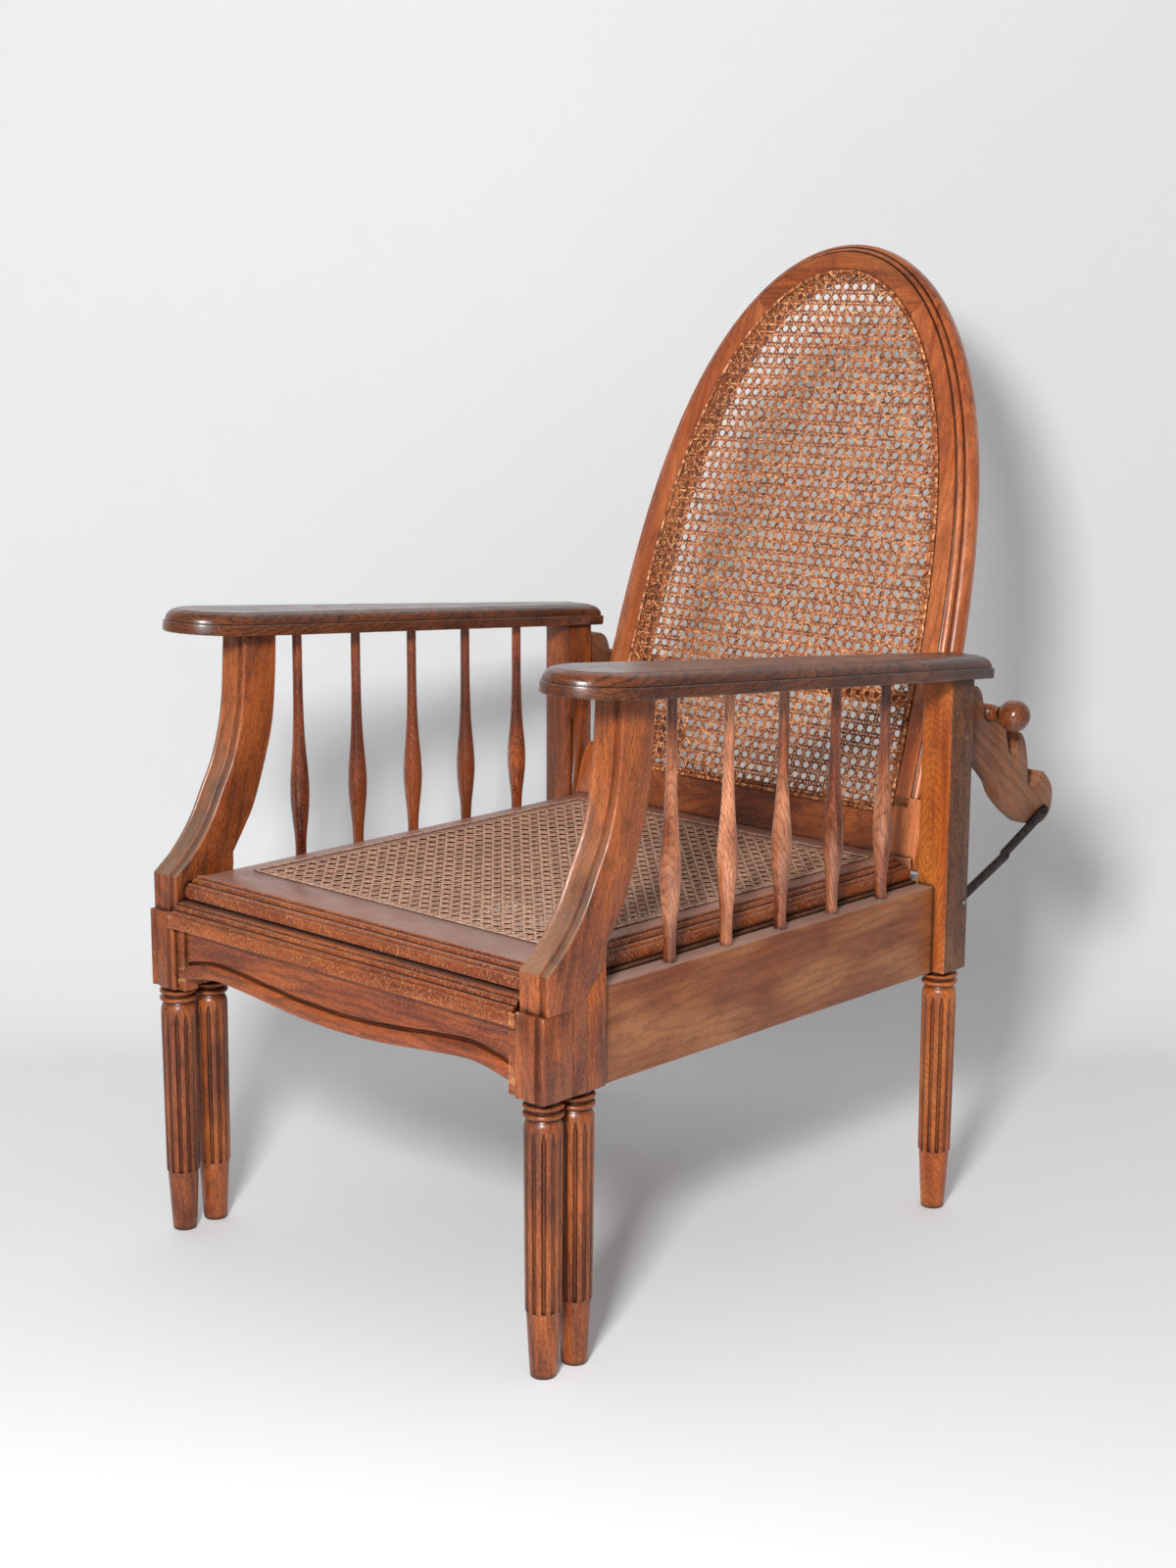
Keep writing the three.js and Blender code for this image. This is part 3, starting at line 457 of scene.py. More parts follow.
def drawnIn(outline, inset):
    # the outline moved inwards by inset, a little less in sharp corners
    points = np.asarray(outline, float)
    before, after = np.roll(points, 1, 0), np.roll(points, -1, 0)
    area = np.sum(points[:, 0] * after[:, 1] - after[:, 0] * points[:, 1])
    along = unit(points - before) + unit(after - points)
    normal = np.stack([-along[:, 1], along[:, 0]], 1)
    stretch = np.minimum(2 / np.maximum(np.linalg.norm(normal, axis=1), 1e-9), 1.6)
    return points + np.sign(area) * inset * unit(normal) * stretch[:, None]


def slab(shell, outline, low, high, edge, toSpace):
    # a board of this outline between two depths, with its long edges rounded
    levels = [(low, 1), (low + 0.3 * edge, 0.35), (low + edge, 0)]
    levels += [(high - edge, 0), (high - 0.3 * edge, 0.35), (high, 1)]
    rings = [[toSpace(u, v, depth) for u, v in drawnIn(outline, edge * share)] for depth, share in levels]
    return shell.loft(rings)


def acrossChair(u, v, depth):
    return (depth, u, v)


def lathe(shell, profile, sides, toSpace, wobble=None):
    # the profile holds heights and radii, the wobble is how much less the radius is at an angle
    rings = []
    for height, radius in profile:
        ring = []
        for i in range(sides):
            angle = 2 * math.pi * i / sides
            r = radius - (wobble(height, angle) if wobble else 0)
            ring.append(toSpace(height, r * math.cos(angle), r * math.sin(angle)))
        rings.append(ring)
    return shell.loft(rings)


def eachSide(build, name, **options):
    # the right hand piece as drawn and the left hand one as its mirror image
    for side, sign in (("right", 1), ("left", -1)):
        shell = build()
        if side == "left":
            shell.turned(mirror)
        yield side, sign, meshFrom(f"{name}_{side}_look", shell, **options)


# ---- legs
leg = dict(
    axisX=275, postX=284.3, half=19.4, flutes=12, fluteDepth=2.7, fluteHalfShare=0.21,
    fluteBottom=68.2, fluteFull=239, flutePoint=250, sides=192,
    profile=[(0, 11.6), (0.8, 12.6), (2, 12.9), (30, 14.7), (67.4, 16.6), (67.9, 17.4), (68.3, 17.8), (68.6, 17.9),
             (145, 18.4), (205, 18.8), (236, 19), (240, 19), (243, 19), (246, 19), (249, 18.95), (252, 18.8),
             (254.6, 18.3), (256.8, 17.5), (258.6, 16.4), (259.8, 15.6), (260.4, 15.5), (260.9, 16.4),
             (261.4, 17.8), (262.3, 19.2), (263.6, 20), (265, 20), (266.2, 19.2), (267, 17.8), (267.6, 16.6),
             (268.4, 16.1), (269.2, 16.3), (269.7, 17.5), (270.6, 19.1), (272, 20), (273.5, 19.9), (274.6, 18.9),
             (275.3, 17.3), (276, 15.8), (277.4, 15.3), (281, 15.2)],
    faceProfile=[(19.4, 3.4), (19.2, 1.9), (18.5, 0.9), (17.5, 0.3), (16.6, 0.15), (15.7, 0.4), (15.1, 1.1),
                 (14.6, 1.6), (13, 1.9), (11, 2.5), (9.4, 3.1), (8.2, 3.1), (7.5, 2.1), (7.1, 0.6), (6.6, 0.1),
                 (6, 0)],
    frontTop=(375, 401.5), frontJoint=-315.3, frontY=(-333.9, -289.2), restY=(-374.8, -334.2), postY=(248.5, 289),
    blockBottom=279, restTop=363.5, edge=1.1, jointGap=0.1, plainStep=8, fineStep=1.2, fineFrom=230,
)


def fluteCut(height, angle):
    if height < leg["fluteBottom"] or height > leg["flutePoint"]:
        return 0
    share = min(1, (leg["flutePoint"] - height) / (leg["flutePoint"] - leg["fluteFull"]))
    width = leg["fluteHalfShare"] * share ** 0.6
    place = abs((angle * leg["flutes"] / (2 * math.pi)) % 1 - 0.5)
    if place >= width:
        return 0
    return leg["fluteDepth"] * share ** 0.5 * (1 - (place / width) ** 2) ** 0.4


def fineProfile():
    rows = []
    for (z0, r0), (z1, r1) in zip(leg["profile"], leg["profile"][1:]):
        steps = max(1, int((z1 - z0) / leg["plainStep" if z1 < leg["fineFrom"] else "fineStep"]))
        rows += [(z0 + (z1 - z0) * t / steps, r0 + (r1 - r0) * t / steps) for t in range(steps)]
    return rows + [leg["profile"][-1]]


def turnedLeg(shell, x, y):
    return lathe(shell, fineProfile(), leg["sides"], lambda h, a, b: (x + a, y + b, h), fluteCut)


def faceDepths():
    # the moulded front across its width: sideways from the middle, and how far it lies back
    right = leg["faceProfile"]
    return [(-x, d) for x, d in right] + [(x, d) for x, d in reversed(right)]


def mouldedPlan(x, front, rear):
    plan = [(x + dx, front + depth) for dx, depth in faceDepths()]
    half, edge = leg["half"], leg["edge"]
    plan += [(x + half, rear - edge), (x + half - 0.3 * edge, rear - 0.3 * edge), (x + half - edge, rear)]
    return plan + [(x - half + edge, rear), (x - half + 0.3 * edge, rear - 0.3 * edge), (x - half, rear - edge)]


def restLeg():
    shell = turnedLeg(Shell(), leg["axisX"], sum(leg["restY"]) / 2)
    plan = mouldedPlan(leg["axisX"], *leg["restY"])
    return slab(shell, plan, leg["blockBottom"], leg["restTop"], leg["edge"], lambda u, v, depth: (u, v, depth))


def frontLeg():
    shell = turnedLeg(Shell(), leg["axisX"], sum(leg["frontY"]) / 2)
    (front, rear), (low, high) = leg["frontY"], leg["frontTop"]
    joint = leg["frontJoint"] + leg["jointGap"]
    outline = [(joint, leg["blockBottom"]), (rear, leg["blockBottom"]), (rear, high), (joint, low)]
    return slab(shell, outline, leg["axisX"] - leg["half"], leg["axisX"] + leg["half"], leg["edge"], acrossChair)


arms = dict(
    fit=0.3, under=630.4, tilt=math.radians(5), noseFront=-348, noseLength=70, rear=305, innerFront=226,
    innerRear=257, outerFront=332, outerRear=320, noseSteps=40, cornerRadius=4,
    levels=[(0, 1.4), (0.3, 0.6), (1.2, 0), (9.8, 0), (10.8, 0.25), (11.3, 0.9), (11.4, 2.5), (12, 2.7), (12.3, 2.2),
            (14.2, 2.4), (16.2, 3), (18, 4), (19.7, 5.3), (21.2, 6.9), (22.3, 8.7), (23, 10.6), (23.2, 12.2),
            (23.5, 12.7), (24, 13.2)],
)


def underArm(y):
    return arms["under"] - y * math.tan(arms["tilt"])


def armSeat(y):
    # the height at which the pieces that carry the arm end
    return underArm(y) - arms["fit"]


def postBlock():
    shell = turnedLeg(Shell(), leg["postX"], sum(leg["postY"]) / 2)
    front, rear = leg["postY"]
    low = leg["blockBottom"]
    outline = [(front, low), (rear, low), (rear, armSeat(rear)), (front, armSeat(front))]
    return slab(shell, outline, leg["postX"] - leg["half"], leg["postX"] + leg["half"], leg["edge"], acrossChair)


stays = dict(
    screw=(456, 429), knee=(375, 391), foot=(282.5, 354), upper=290.3, lower=293.6, thick=3, halfWidth=6,
    edge=0.5, rivetRadius=4.6, rivetRise=1.9, pin=(3, 0, 2.2),  # a pin's radius, depth and rise
)
slots = dict(  # cut into the rear posts
    stay=(293.2, 297, 268, 292, 340, 379), hinge=(262, 268.5, 253.6, 256, 395, 492),
    plugAt=(277, 540), plug=(3, 0.6, 0.3),  # a plug's radius, depth and rise
)

for side, sign, piece in eachSide(restLeg, "rest_leg"):
    sawn(piece, upright)
    dress(piece, frameBeech, "leg_rest", "stained_beech", f"leg_rest_leg_{side}")
for side, sign, piece in eachSide(frontLeg, "front_leg"):
    sawn(piece, upright)
    dress(piece, frameBeech, "root", "stained_beech", f"front_leg_{side}")
for side, sign, piece in eachSide(postBlock, "rear_post"):
    carve(piece, [meshFrom("cutter", box(*sorted((sign * x0, sign * x1)), *others))
                  for x0, x1, *others in (slots["stay"], slots["hinge"])])
    sawn(piece, upright, pith=(10, 38))
    # painted light: the right post takes the brighter copy, the left one the frame beech
    dress(piece, litRightPostBeech if side == "right" else frameBeech, "root", "stained_beech", f"rear_post_{side}")
    piece.data.materials.append(darkOuterBeech)
    for face in piece.data.polygons:  # the outer face of the square part is darker, greyer and duller
        if sign * face.normal.x > 0.8 and face.center.z > leg["blockBottom"] / 1000:
            face.material_index = 1
print("legs and posts ready")


# ---- arm supports
support = dict(
    toeY=-368.6, toeBottom=363.8, toeTop=402.8, topFrontY=-266, topRearY=-223, rearFootZ=417.3, arris=0.9,
    front=[(0, 0), (0.25, 0.086), (0.48, 0.204), (0.652, 0.337), (0.82, 0.478), (0.945, 0.686), (1, 1)],
    rear=[(0, 0), (0.26, 0.113), (0.47, 0.218), (0.742, 0.435), (0.894, 0.602), (0.97, 0.812), (1, 1)],
)


def sweptLine(shares, start, end):
    # a curve between two points, drawn in shares of the way across and up
    return smoothLine([(start[0] + (end[0] - start[0]) * u, start[1] + (end[1] - start[1]) * v) for u, v in shares])


def armSupport():
    topFront, topRear, toeY, toeTop = (support[key] for key in ("topFrontY", "topRearY", "toeY", "toeTop"))
    legFront, legRear = leg["frontY"]
    front = sweptLine(support["front"], (toeY, toeTop), (topFront, armSeat(topFront)))
    rear = sweptLine(support["rear"], (legRear, support["rearFootZ"]), (topRear, armSeat(topRear)))
    face = np.array(front[::-1] + [(toeY, toeTop - 2), (toeY, support["toeBottom"])])
    run = unit(np.gradient(face, axis=0))
    normal = np.stack([-run[:, 1], run[:, 0]], 1)
    # the board runs down in front of the leg's own block, to a long glue joint
    gap, (low, high) = leg["jointGap"], leg["frontTop"]
    joint, bottom = leg["frontJoint"] - gap, leg["blockBottom"] + 2 * gap
    stem = [(legFront, support["toeBottom"]), (legFront, bottom), (joint, bottom), (joint, low + 2 * gap),
            (legRear, high + 3 * gap)] + rear
    depths = faceDepths()
    columns = []
    for dx, depth in depths:
        inset = support["arris"] if dx in (depths[0][0], depths[-1][0]) else 0
        behind = drawnIn(stem + list(face), inset)[:len(stem)]
        columns.append([(leg["axisX"] + dx, *p) for p in [*behind, *(face + normal * depth)]])
    return Shell().loft(columns)


for side, sign, piece in eachSide(armSupport, "arm_support"):
    sawn(piece, (0, 0.25, 1), (0, 1, -0.25), (60, 20))
    dress(piece, supportBeech, "root", "stained_beech", f"arm_support_{side}")


# ---- armrests and spindles
def armPlan(inset):
    middle = (arms["innerFront"] + arms["outerFront"]) / 2
    half = (arms["outerFront"] - arms["innerFront"]) / 2 - inset
    back = arms["noseFront"] + arms["noseLength"]
    nose = [(middle + half * math.cos(a), back + (arms["noseLength"] - inset) * math.sin(a))
            for a in np.linspace(-math.pi, 0, arms["noseSteps"])]
    rear, radius = arms["rear"] - inset, arms["cornerRadius"]
    outer, inner = arms["outerRear"] - inset, arms["innerRear"] + inset
    corners = arc(outer - radius, rear - radius, radius, 0, 90, 5)
    corners += arc(inner + radius, rear - radius, radius, 90, 180, 5)
    return nose + [tuple(p) for p in corners]


def armrest():
    rings = [[(x, y, z) for x, y in armPlan(inset)] for z, inset in arms["levels"]]
    return Shell().loft(rings).turned(tilted(arms["tilt"], (0, 0, arms["under"])))


for side, sign, piece in eachSide(armrest, "armrest", sharpAngle=28):
    sawn(piece, lengthways, pith=(15, 60))
    dress(piece, armBeech, "root", "arm_beech", f"armrest_{side}")

spindles = dict(
    count=5, pitch=86, first=-177, foot=375.8, bulge=10.8, sides=40,
    shares=[(0, 0.6), (0.06, 0.57), (0.13, 0.62), (0.21, 0.82), (0.28, 0.97), (0.34, 1), (0.41, 0.92), (0.5, 0.73),
            (0.6, 0.59), (0.75, 0.51), (1, 0.5)],
)
for side, x in (("right", leg["axisX"]), ("left", -leg["axisX"])):
    for k in range(spindles["count"]):
        y, foot = spindles["first"] + k * spindles["pitch"], spindles["foot"]
        height = underArm(y) - foot
        profile = [(foot + h * height, r * spindles["bulge"]) for h, r in smoothLine(spindles["shares"], 7)]
        shell = lathe(Shell(), profile, spindles["sides"], lambda h, a, b: (x + a, y + b, h))
        top = shell.points[0].reshape(-1, spindles["sides"], 3)[-1]
        top[:, 2] = [armSeat(v) for v in top[:, 1]]
        piece = sawn(meshFrom(f"spindle_look_{side}_{k + 1}", shell, sharpAngle=50), upright, pith=(5, 30))
        dress(piece, spindleBeech[side], "root", "stained_beech", f"spindle_{side}_{k + 1}")
print("arms and spindles ready")


# ---- rails
rails = dict(
    inner=263, outer=287, front=-288.9, rear=248.2, low=277, high=375.5, edge=1.6, stations=60,
    wear=1.4, waves=[(1.1, 21), (0.7, 8.3)],  # how deep, and the two waves of it: height and length
    arris=[(0, 0, 1.6, 1), (0.5, 0, 0.7, 0.5), (1.6, 0.5, 0.3, 0), (3, 1, 0, 0)],  # in and down, each with its wear
    rearHalf=264.6, rearY=(256.75, 280.75), rearEdge=1.4,
)


def sideRail():
    # the top arris is worn wavy between the spindles
    inner, outer, low, high, edge = (rails[key] for key in ("inner", "outer", "low", "high", "edge"))
    rings = []
    for y in np.linspace(rails["front"], rails["rear"], rails["stations"]):
        worn = rails["wear"] + sum(deep * math.sin(y / length) for deep, length in rails["waves"])
        arris = [(outer - x - xWear * worn, y, high - z - zWear * worn) for x, xWear, z, zWear in rails["arris"]]
        rings.append([(inner + edge, y, low), (outer - edge, y, low), (outer, y, low + edge)] + arris
                     + [(inner + edge, y, high), (inner, y, high - edge), (inner, y, low + edge)])
    return Shell().loft(rings)


railPith = (20, 28)
for side, sign, piece in eachSide(sideRail, "side_rail"):
    sawn(piece, (0, 1, 0.02), upright, railPith)
    dress(piece, railBeech, "root", "stained_beech", f"side_rail_{side}")
rearRail = box(-rails["rearHalf"], rails["rearHalf"], *rails["rearY"], rails["low"], rails["high"])
piece = sawn(meshFrom("rear_rail_look", rearRail, rails["rearEdge"]), (1, 0, 0.02), upright, railPith)
dress(piece, railBeech, "root", "stained_beech", "rear_rail")


# ---- seat frame and leg rest: mitred members with a reeded edge
# inwards and upwards from the fascia
reeds = [(0, -0.9), (0.2, -0.3), (0.8, 0), (1.9, 0.1), (2, 1.4), (2.5, 2.7), (3.5, 3.6), (4.8, 4), (5.9, 4),
         (6.5, 3.6), (6.8, 3.3), (7.1, 3.5), (7.2, 5), (7.6, 6.7), (8.5, 8), (9.7, 8.8), (10.8, 9), (11.4, 8.7),
         (11.7, 8.5), (12, 8.8), (12.1, 10.6), (12.5, 11.5), (13.2, 11.9), (14, 12)]
seat = dict(
    half=255, front=-357, rear=249, top=402, thick=24, fit=0.3, edge=0.8,
    widths=dict(front=77, rear=39, left=43, right=43),
)
rest = dict(
    half=236.3, front=-378, rear=200, top=375.5, thick=27, edge=0.8, reach=255,
    widths=dict(front=48, rear=40, left=36, right=36), lips=(253, 259.8, -377.95, -375.1, 348.55, 362.6),
)


def edgeSection(plan, width, moulded):
    thick, edge = plan["thick"], plan["edge"]
    softened = [(edge, thick), (0.3 * edge, thick - 0.3 * edge), (0, thick - edge)]
    front = [(u, thick - reeds[-1][1] + v) for u, v in reeds] if moulded else softened[::-1]
    behind = [(width - u, v) for u, v in softened] + [(width, edge), (width - edge, 0)]
    return [(edge, 0), (0, edge)] + front + behind


def member(side, plan, moulded):
    # one side of a mitred frame: each point of its section ends on the diagonal of the joint
    widths, across = plan["widths"], side in ("front", "rear")
    under = plan["top"] - plan["thick"]

    def inFrom(edge, distance):
        return {"left": -plan["half"] + distance, "right": plan["half"] - distance,
                "front": plan["front"] + distance, "rear": plan["rear"] - distance}[edge]

    rings = []
    for end in ("left", "right") if across else ("front", "rear"):
        ring = []
        for w, h in edgeSection(plan, widths[side] - plan["fit"], moulded):
            place = inFrom(end, w / widths[side] * widths[end] + plan["fit"] / 2), inFrom(side, w)
            ring.append((*(place if across else reversed(place)), under + h))
        rings.append(ring)
    return Shell().loft(rings)


def withEnds(shell, room):
    # the same small block at both ends of a board that lies across the chair
    for sign in (-1, 1):
        block = box(*sorted((sign * room[0], sign * room[1])), *room[2:])
        shell.add(block.points[0], block.faces)
    return shell


for side in seat["widths"]:
    along = widthways if side in ("front", "rear") else lengthways
    piece = meshFrom(f"seat_{side}_look", member(side, seat, side != "rear"), sharpAngle=30)
    sawn(piece, along, upright, (15, 50))
    dress(piece, seatBeech, "root", "seat_beech", f"seat_frame_{side}")


def restFront():
    section = edgeSection(rest, rest["widths"]["front"], True)
    under = rest["top"] - rest["thick"]
    rings = [[(x, rest["front"] + w, under + h) for w, h in section] for x in (-rest["reach"], rest["reach"])]
    return withEnds(Shell().loft(rings), rest["lips"])


piece = sawn(meshFrom("leg_rest_front_look", restFront(), sharpAngle=30), widthways, upright, (15, 50))
dress(piece, foreBeech, "leg_rest", "stained_beech", "leg_rest_front")

apron = dict(
    half=255.3, top=348.2, depth=61.5, face=-366, thick=16, arris=1, bandHeight=17, bandProud=3, stations=90,
    ears=(243.5, 255.2, -369.2, -352, 279.4, 348),
    quirk=[(0, 3.4), (0.5, 2.9), (1.5, 2.2), (1.9, 1.2), (1.3, 0.3), (0, 0)],  # behind the face, above the band
    bandTop=[(0.6, -0.6), (0, -2)], bandFoot=[(0, 3), (0.5, 1.2), (1.6, 0.3), (3, 0)],
    edge=[(0, 0), (0.08, 0.01), (0.24, 0.04), (0.41, 0.105), (0.51, 0.15), (0.65, 0.2), (0.73, 0.22), (0.8, 0.2),
          (0.92, 0.105), (1, 0)],  # the lower edge from the middle to one end
)


def apronBoard():
    line = np.array(smoothLine(apron["edge"], 8))
    face, back, top, arris = apron["face"], apron["face"] + apron["thick"], apron["top"], apron["arris"]
    proud = face - apron["bandProud"]
    rings = []
    for share in np.linspace(-1, 1, apron["stations"]):
        low = top - apron["depth"] * (1 - np.interp(abs(share), line[:, 0], line[:, 1]))
        band = low + apron["bandHeight"]
        section = [(face, top)]
        for y, z, key in ((face, band, "quirk"), (proud, band, "bandTop"), (proud, low, "bandFoot")):
            section += [(y + u, z + v) for u, v in apron[key]]
        section += [(back - arris, low), (back, low + arris), (back, top)]
        rings.append([(share * apron["half"], y, z) for y, z in section])
    return withEnds(Shell().loft(rings), apron["ears"])


piece = sawn(meshFrom("apron_look", apronBoard(), sharpAngle=30), widthways, upright, (25, 22))
dress(piece, apronBeech, "leg_rest", "stained_beech", "leg_rest_apron")
print("rails, seat frame and leg rest ready")


# ---- back frame, drawn upright from its pivot line and then leaned
back = dict(
    lean=math.radians(16.27), pivotY=267.2, pivotZ=398, thick=30, archWidth=235.3, archHeight=680.7, power=3.38,
    band=31, bandCrest=27.5, run=20, runCrest=13, earTop=48, earShoulder=16, earReach=257.5, earLow=30, earSlim=0.62,
    scarf=622, fit=0.3, railTop=52.7, stileFrom=52, stileSteps=70, crestSteps=64, footSteps=(12, 26), softened=1.2,
    arris=[(0, 1.4), (0.4, 0.4), (1.4, 0)],
    edge=[(0, 0), (0.02, 0.03), (0.035, 0.09), (0.06, 0.1), (0.09, 0.08), (0.14, 0.063), (0.2, 0.057),
          (0.27, 0.063), (0.34, 0.085), (0.4, 0.12), (0.445, 0.17), (0.465, 0.22), (0.48, 0.245), (0.51, 0.245),
          (0.54, 0.225),
          (0.6, 0.213), (0.67, 0.22), (0.75, 0.245), (0.83, 0.285), (0.9, 0.34), (0.96, 0.41), (0.99, 0.48),
          (1, 0.56), (1, 0.64), (0.985, 0.73), (0.95, 0.81), (0.89, 0.89), (0.81, 0.96), (0.72, 1)],
)
leaned = tilted(back["lean"], (0, back["pivotY"], back["pivotZ"]))


def towardsCrest(side, top, z):
    return side + (top - side) * (z / back["archHeight"]) ** 3


def archAngle(z):
    return math.asin(min(1, (z / back["archHeight"]) ** (back["power"] / 2)))


def archStation(angle):
    width, height, power = back["archWidth"], back["archHeight"], back["power"]
    z = height * math.sin(angle) ** (2 / power)
    slope = width / height * power / 2 * (z / height) ** (power - 1)
    run = Vector((-slope, math.cos(angle))).normalized()
    return width * math.cos(angle), z, run.y, -run.x


def backSection(z):
    band, run = towardsCrest(back["band"], back["bandCrest"], z), towardsCrest(back["run"], back["runCrest"], z)
    thick = back["thick"]
    arris = [(u - band, v) for u, v in back["arris"]]
    edge = [(run * u, thick * v) for u, v in back["edge"]]
    return arris + edge + [(u, thick - v) for u, v in reversed(arris)]


def archSweep(shell, stations):
    rings = []
    for x, z, outX, outZ in stations:
        rings.append([(x + outX * u, v - back["thick"] / 2, z + outZ * u) for u, v in backSection(z)])
    return shell.loft(rings)


def stileStations():
    low, high = back["stileFrom"], back["scarf"] - back["fit"]
    shares = np.linspace(0, 1, back["stileSteps"])
    return [archStation(archAngle(low + (high - low) * s * math.sqrt(2 - s))) for s in shares]


def crestStations():
    start = archAngle(back["scarf"])
    return [archStation(a) for a in np.linspace(start, math.pi - start, back["crestSteps"])]


def bandEdge():
    return back["archWidth"] * math.sqrt(1 - (back["earTop"] / back["archHeight"]) ** back["power"])


def earEdge(z):
    # the ear sweeps in to the moulding above the round foot
    low, high = back["earLow"], back["earTop"] + back["earShoulder"]
    slim = back["archWidth"] + back["earSlim"] * back["run"]
    share = min(1, max(0, (z - low) / (high - low)))
    return slim + (back["earReach"] - slim) * math.sqrt(max(0, 1 - share ** 2.2))


def footRings(inner):
    # the board that stands on its round foot: rows of height and half depth
    half, (roundSteps, steps) = back["thick"] / 2, back["footSteps"]
    rows = [(-half * math.cos(a), half * math.sin(a)) for a in np.linspace(0.12, math.pi / 2, roundSteps)]
    rows += [(z, half) for z in np.linspace(2, back["earTop"] + back["earShoulder"], steps)]
    rings = []
    for z, depth in rows:
        outer, e = earEdge(z), min(back["softened"], depth * 0.4)
        corner = [(inner, depth), (outer - e, depth), (outer - 0.3 * e, depth - 0.3 * e), (outer, depth - e)]
        rings.append([(x, -y, z) for x, y in corner] + [(x, y, z) for x, y in reversed(corner)])
    return rings


def stile():
    return archSweep(Shell(), stileStations()).loft(footRings(bandEdge() - back["band"])).turned(leaned)


def bottomRail():
    reach = bandEdge() - back["band"] - back["fit"]
    half, top = back["thick"] / 2, back["railTop"]
    side = [(half * math.cos(a), half * math.sin(a)) for a in np.linspace(math.pi, 2 * math.pi, 20)]
    side += [(half, top - 1), (half - 1, top), (1 - half, top), (-half, top - 1)]
    return Shell().loft([[(x, y, z) for y, z in side] for x in (-reach, reach)]).turned(leaned)


for side, sign, piece in eachSide(stile, "back_stile", sharpAngle=30):
    sawn(piece, (-sign * 0.06, 0.28, 0.95), pith=(40, 60))
    dress(piece, backBeech, "backrest", "stained_beech", f"back_stile_{side}")
crest = archSweep(Shell(), crestStations()).turned(leaned)
piece = sawn(meshFrom("back_crest_look", crest, sharpAngle=30), widthways, (0, 0.28, 0.95), (60, 40))
dress(piece, crestBeech, "backrest", "stained_beech", "back_crest")
piece = sawn(meshFrom("back_bottom_rail_look", bottomRail(), sharpAngle=30), widthways, upright, (20, 40))
dress(piece, frameBeech, "backrest", "stained_beech", "back_bottom_rail")
print("back frame ready")


# ---- cane: pairs up and across, one diagonal each way, laid into holes under a binder
cane = dict(
    thick=0.6, lift=0.45, wave=0.2, stray=0.22, levels=((-0.32, 0.08), (-0.08, 0.32)),  # of the pairs up and across
    dip=2.5, endRoom=1.5, shortest=6, holeInset=8, sunk=0.4,
    binderWidth=4.2, binderThick=1.1, binderRise=1.5, binderStep=6, binderTint=0.6,
    loopWidth=1.7, loopThick=0.48, loopReach=2.8, loopStray=0.08, loopLean=0.8,
    loop=[(-1, 0.4), (-0.85, 1.9), (-0.4, 2.5), (0.4, 2.5), (0.85, 1.9), (1, 0.4)],
    stitchWidth=1.5, stitchLean=1.3, stitchReach=(11, 21),
    stitch=[(0.08, 0.3), (0.2, 1.5), (0.6, 1.3), (0.9, 1.2), (1, -0.8)],
)


def crossing(outline, start, direction):
    # where a straight strand enters and leaves the convex outline
    low, high = -1e9, 1e9
    for a, b in zip(outline, np.roll(outline, -1, 0)):
        inward = np.array([-(b - a)[1], (b - a)[0]])
        speed, room = inward @ direction, inward @ (a - start)
        if speed > 1e-9:
            low = max(low, room / speed)
        elif speed < -1e-9:
            high = min(high, room / speed)
        elif room > 0:
            return None
    return (low, high) if high - low > cane["shortest"] else None


class Weave:
    def __init__(self):
        self.points, self.strands, self.faces, self.ends, self.count = [], [], [], [], 0

    def strip(self, centres, sides, ups, width, thick, tint):
        # a strand with a rounded crown along its centres, with sides and ups for each of them or for all
        sides, ups = np.broadcast_to(sides, centres.shape), np.broadcast_to(ups, centres.shape)
        section = np.array([(-0.5, -0.4), (0.5, -0.4), (0.42, 0.15), (0.0, 0.5), (-0.42, 0.15)])
        # weights that are 1 along the top of the strand and carry its painted highlight
        crown = np.array([0, 0, 0.45, 1, 0.45])
        rows, count = len(centres), len(section)
        across = section[:, 0, None] * width
        rise = section[:, 1, None] * thick
        ring = centres[:, None] + across[None] * sides[:, None] + rise[None] * ups[:, None]
        travel = np.concatenate([[0], np.cumsum(np.linalg.norm(np.diff(centres, axis=0), axis=1))]) / 1000
        data = np.zeros((rows, count, 3))
        data[..., 0] = travel[:, None] + tint * 7
        data[..., 1] = crown[None]
        data[..., 2] = tint
        base = self.count + np.arange(rows - 1)[:, None] * count
        i = np.arange(count)
        nextI = (i + 1) % count
        quads = np.stack([base + i, base + nextI, base + count + nextI, base + count + i], -1).reshape(-1, 4)
        self.points.append(ring.reshape(-1, 3))
        self.strands.append(data.reshape(-1, 3))
        self.faces.append(quads)
        self.ends += [self.count + i[::-1], self.count + (rows - 1) * count + i]
        self.count += rows * count

    def piece(self, name, turn):
        points = toFrame(turn(np.concatenate(self.points)))
        quads = np.concatenate(self.faces)
        mesh = bpy.data.meshes.new(name)
        loops = np.concatenate([quads.ravel(), np.concatenate(self.ends)])
        sizes = np.concatenate([np.full(len(quads), 4), np.full(len(self.ends), 5)])
        mesh.vertices.add(len(points))
        mesh.vertices.foreach_set("co", points.astype(np.float32).ravel())
        mesh.loops.add(len(loops))
        mesh.loops.foreach_set("vertex_index", loops.astype(np.int32))
        mesh.polygons.add(len(sizes))
        mesh.polygons.foreach_set("loop_start", np.concatenate([[0], np.cumsum(sizes)[:-1]]).astype(np.int32))
        mesh.polygons.foreach_set("use_smooth", [True] * len(sizes))
        mesh.update(calc_edges=True)
        stored = mesh.attributes.new("strand", "FLOAT_VECTOR", "POINT")
        stored.data.foreach_set("vector", np.concatenate(self.strands).astype(np.float32).ravel())
        return placed(name, mesh)


